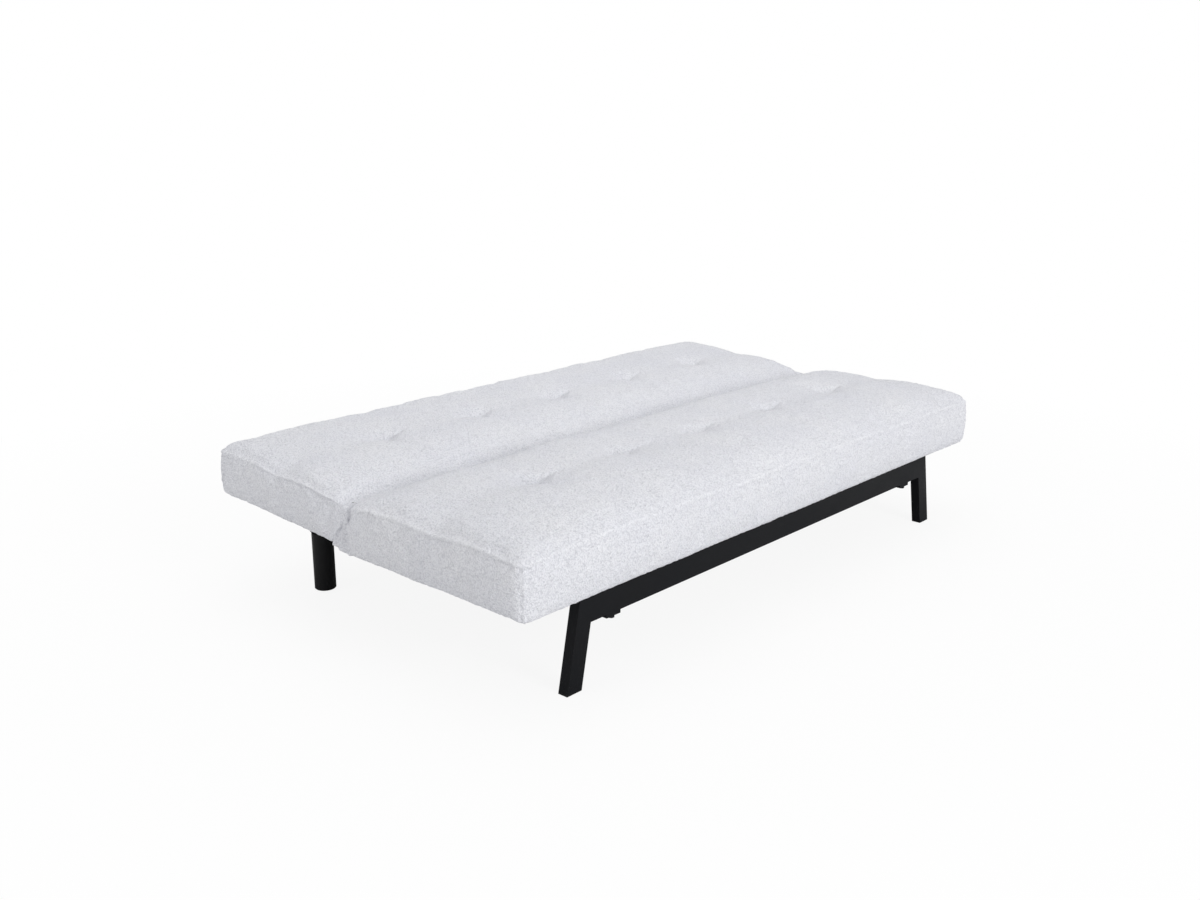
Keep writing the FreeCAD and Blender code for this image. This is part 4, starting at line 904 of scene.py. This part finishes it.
def gusset_points(sign, columns, rows):
    """Points of a pleated gusset: a wedge from the fold down to the cushions' bottom edges.

    At a share a across and b down, the cloth runs from the seat's edge to the back's slanting edge, its bottom
    hangs in shallow scallops, and it dips inwards as a rounded wave of two pleats that deepen downwards."""
    a, b = np.meshgrid(np.linspace(0, 1, columns + 1), np.linspace(0, 1, rows + 1))
    top_z, seat_z, back_z = FOLD_Z + 0.006, SEAT_FLOOR + 0.004, BACK_FLOOR + 0.004
    low_z = seat_z + (back_z - seat_z) * a - 0.004 * np.sin(2 * math.pi * a) ** 2
    z = top_z + (low_z - top_z) * b
    left = FOLD_Y - 0.010 - 0.002 * b
    right = FOLD_Y + 0.004 + 0.060 * b
    y = left + (right - left) * a
    pleats = np.cos(2 * math.pi * 2 * a + 0.5 * np.sin(3 * b))
    depth = 0.0015 + 0.0085 * b**0.8
    tuck = 0.010 * (np.clip(1 - a / 0.1, 0, 1) + np.clip((a - 0.9) / 0.1, 0, 1))
    x = HALF_LENGTH + 0.0016 - depth * (0.5 - 0.5 * pleats) ** 0.8 - tuck - 0.004 * (1 - b) ** 3
    return np.stack([sign * x.ravel(), y.ravel(), z.ravel()], axis=1)


class SOFABED_OT_gussets(Operator):
    """Makes the pleated gussets that close the wedge between the cushions at both ends"""
    bl_idname = "sofabed.gussets"
    bl_label = "End gussets"

    def execute(self, context):
        sizes = context.scene.sofabed_sizes
        columns, rows = 48, 60
        for sign, side in ((-1, "left"), (1, "right")):
            piece = new_piece("End_gusset_" + side, gusset_points(sign, columns, rows),
                              grid_faces(columns, rows, sign > 0), bpy.data.materials["White boucle"])
            wall = piece.modifiers.new("Cloth thickness", "SOLIDIFY")
            wall.thickness, wall.offset = CLOTH_THICKNESS, -1.0
            apply_modifiers(piece)
            points, out = coordinates(piece.data), normals(piece.data)
            clump = nap_clumps(points, GUSSET_SEED)
            place_points(piece.data, points + out * (0.6 * sizes.nap * clump)[:, None])
            set_values(piece.data, "clump", clump)
            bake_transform(piece)
            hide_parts("end_gusset_" + side)
        return {"FINISHED"}


class SOFABED_OT_steel(Operator):
    """Finishes the powder-coated steel of the base"""
    bl_idname = "sofabed.steel"
    bl_label = "Powder-coated steel"

    def execute(self, context):
        finish_nodes(["front_leg_frame", "side_rail_left", "side_rail_right", "rear_crossbar",
                      "rear_leg_plates"], powder_coat_material(context.scene.sofabed_colours))
        return {"FINISHED"}


class SOFABED_OT_hinges(Operator):
    """Finishes the plated hinge plates, pawls, springs, pins and screws"""
    bl_idname = "sofabed.hinges"
    bl_label = "Hinges and fastenings"

    def execute(self, context):
        colours = context.scene.sofabed_colours
        black = (0.03, 0.03, 0.032)
        finish_nodes(["seat_arms", "seat_cheeks", "back_arms", "pawl_left", "pawl_right", "pivot_pins",
                      "pawl_pins", "rear_leg_studs"],
                     metal_material("Bright zinc", colours.zinc, (0.28, 0.45), 420.0))
        finish_nodes(["frame_bolts"], metal_material("Blackened steel", black, (0.35, 0.5), 420.0))
        finish_nodes(["pawl_springs"], metal_material("Spring steel", colours.spring_steel, (0.25, 0.4), 700.0))
        return {"FINISHED"}


class SOFABED_OT_feet(Operator):
    """Finishes the plastic caps and glides and the rubber bumpers"""
    bl_idname = "sofabed.feet"
    bl_label = "Caps, glides and bumpers"

    def execute(self, context):
        colours = context.scene.sofabed_colours
        finish_nodes(["rear_legs", "front_foot_caps", "crossbar_caps", "rear_glides"],
                     moulded_material("Moulded plastic", colours.plastic, (0.42, 0.58), 1400.0, 0.0003))
        finish_nodes(["back_bumpers"],
                     moulded_material("Black rubber", colours.rubber, (0.7, 0.85), 700.0, 0.0005))
        return {"FINISHED"}


class SOFABED_OT_timber(Operator):
    """Finishes the timber frames, the webbing and the dust covers inside the cushions"""
    bl_idname = "sofabed.timber"
    bl_label = "Timber, webbing and dust covers"

    def execute(self, context):
        colours = context.scene.sofabed_colours
        finish_nodes([end + piece for end in ("seat_", "back_") for piece in
                      ("front_rail", "rear_rail", "end_rails", "cross_rails", "corner_blocks")],
                     timber_material(colours))
        finish_nodes(["seat_webbing", "back_webbing"], webbing_material(colours))
        finish_nodes(["seat_dust_cover", "back_dust_cover"], dust_cloth_material(colours))
        return {"FINISHED"}


class SOFABED_OT_fabric(Operator):
    """Makes the bouclé that the cushions and gussets are sewn from"""
    bl_idname = "sofabed.fabric"
    bl_label = "Bouclé"

    def execute(self, context):
        boucle_material(context.scene.sofabed_colours)
        return {"FINISHED"}


def area_light(name, place, size, watts):
    """A square soft light that points at the middle of the object."""
    data = bpy.data.lights.new(name, "AREA")
    data.shape, data.size, data.energy = "SQUARE", size, watts
    lamp = bpy.data.objects.new(name, data)
    lamp.location = place
    lamp.rotation_euler = (Vector(LIGHT_AIM) - Vector(place)).to_track_quat("-Z", "Y").to_euler()
    bpy.context.scene.collection.objects.link(lamp)


def white_to_camera(tree):
    """One where the camera, a mirror or a pane looks, and none for the light that falls on things."""
    path = node(tree, "ShaderNodeLightPath", {}).outputs
    seen = maths(tree, "MAXIMUM", path["Is Camera Ray"], path["Is Glossy Ray"])
    return maths(tree, "MAXIMUM", seen, path["Is Transmission Ray"])


def floor_material(settings):
    """Pale floor, lifted to white where the camera sees it, and wholly so away from the object."""
    material, tree, shader, place = new_material("Pale floor")
    speckle = spread(tree, noise(tree, place, 3.0, 3.0), 0.3, 0.7)
    pale = settings.floor_colour
    fill(tree, shader, {"Base Color": colour_mix(tree, speckle, opaque(pale), opaque(pale, 0.985)),
                        "Roughness": 0.9, "Specular IOR Level": 0.0})
    glow = node(tree, "ShaderNodeEmission", {"Color": WHITE, "Strength": 1.0})
    away = node(tree, "ShaderNodeVectorMath", {0: place}, operation="LENGTH").outputs["Value"]
    clear = spread(tree, away, 0.9, 2.6, settings.floor_lift, 1.0)
    path = node(tree, "ShaderNodeLightPath", {}).outputs
    lift = maths(tree, "MULTIPLY", path["Is Camera Ray"], clear)
    mixed = node(tree, "ShaderNodeMixShader", {0: lift, 1: shader.outputs[0], 2: glow.outputs[0]})
    fill(tree, tree.nodes["Material Output"], {"Surface": mixed.outputs[0]})
    return material


class SOFABED_OT_stage(Operator):
    """Sets the floor, the lights, the white surroundings and the camera"""
    bl_idname = "sofabed.stage"
    bl_label = "Stage"

    def execute(self, context):
        scene, settings = context.scene, context.scene.sofabed_stage
        scene.view_settings.view_transform = "Standard"
        world = bpy.data.worlds.new("Studio")
        world.use_nodes = True
        tree = world.node_tree
        level = spread(tree, white_to_camera(tree), 0.0, 1.0, settings.sky_level, 1.0)
        fill(tree, tree.nodes["Background"], {"Strength": level, "Color": WHITE})
        scene.world = world
        points = [(x * FLOOR_REACH, y * FLOOR_REACH, 0) for x, y in ((-1, -1), (1, -1), (1, 1), (-1, 1))]
        floor = new_piece("Floor", points, [(0, 1, 2, 3)], floor_material(settings))
        area_light("Key_light", (-0.9, -6.7, 2.7), 2.4, settings.key_power)
        area_light("Side_light", (-5.5, 0.8, 1.8), 2.4, settings.side_power)
        area_light("Rear_light", (2.4, 4.6, 2.4), 2.4, settings.rear_power)
        area_light("Top_light", (0.3, 0.6, 3.4), 3.0, settings.top_power)
        camera_data = bpy.data.cameras.new("Camera")
        camera_data.lens, camera_data.sensor_width = settings.lens, 36.0
        camera_data.sensor_fit = "HORIZONTAL"
        camera = bpy.data.objects.new("Camera", camera_data)
        camera.location = settings.camera_place
        camera.rotation_euler = (settings.camera_pitch, 0.0, settings.camera_yaw)
        scene.collection.objects.link(camera)
        scene.camera = camera
        return {"FINISHED"}


OPERATORS = (SOFABED_OT_stage, SOFABED_OT_fabric, SOFABED_OT_seat_cushion, SOFABED_OT_back_cushion,
             SOFABED_OT_gussets, SOFABED_OT_steel, SOFABED_OT_hinges, SOFABED_OT_feet, SOFABED_OT_timber)


class SOFABED_PT_panel(Panel):
    """Sizes, colours and making of the sofa bed"""
    bl_idname = "SOFABED_PT_panel"
    bl_label = "Sofa Bed"
    bl_space_type = "VIEW_3D"
    bl_region_type = "UI"
    bl_category = "Sofa Bed"

    def draw(self, context):
        layout = self.layout
        for group in (context.scene.sofabed_sizes, context.scene.sofabed_colours, context.scene.sofabed_stage):
            box = layout.box()
            for name in group.__annotations__:
                box.prop(group, name)
        for operator in OPERATORS:
            layout.operator(operator.bl_idname)


CLASSES = (CushionSizes, FinishColours, StageSettings) + OPERATORS + (SOFABED_PT_panel,)


def register():
    """Adds the classes and the settings that the scene keeps."""
    for kind in CLASSES:
        bpy.utils.register_class(kind)
    bpy.types.Scene.sofabed_sizes = PointerProperty(type=CushionSizes)
    bpy.types.Scene.sofabed_colours = PointerProperty(type=FinishColours)
    bpy.types.Scene.sofabed_stage = PointerProperty(type=StageSettings)


def unregister():
    """Takes them away again."""
    del bpy.types.Scene.sofabed_stage, bpy.types.Scene.sofabed_colours, bpy.types.Scene.sofabed_sizes
    for kind in reversed(CLASSES):
        bpy.utils.unregister_class(kind)


def main():
    """Makes every piece in order."""
    register()
    for operator in OPERATORS:
        group, name = operator.bl_idname.split(".")
        getattr(getattr(bpy.ops, group), name)()


if __name__ == "__main__":
    main()
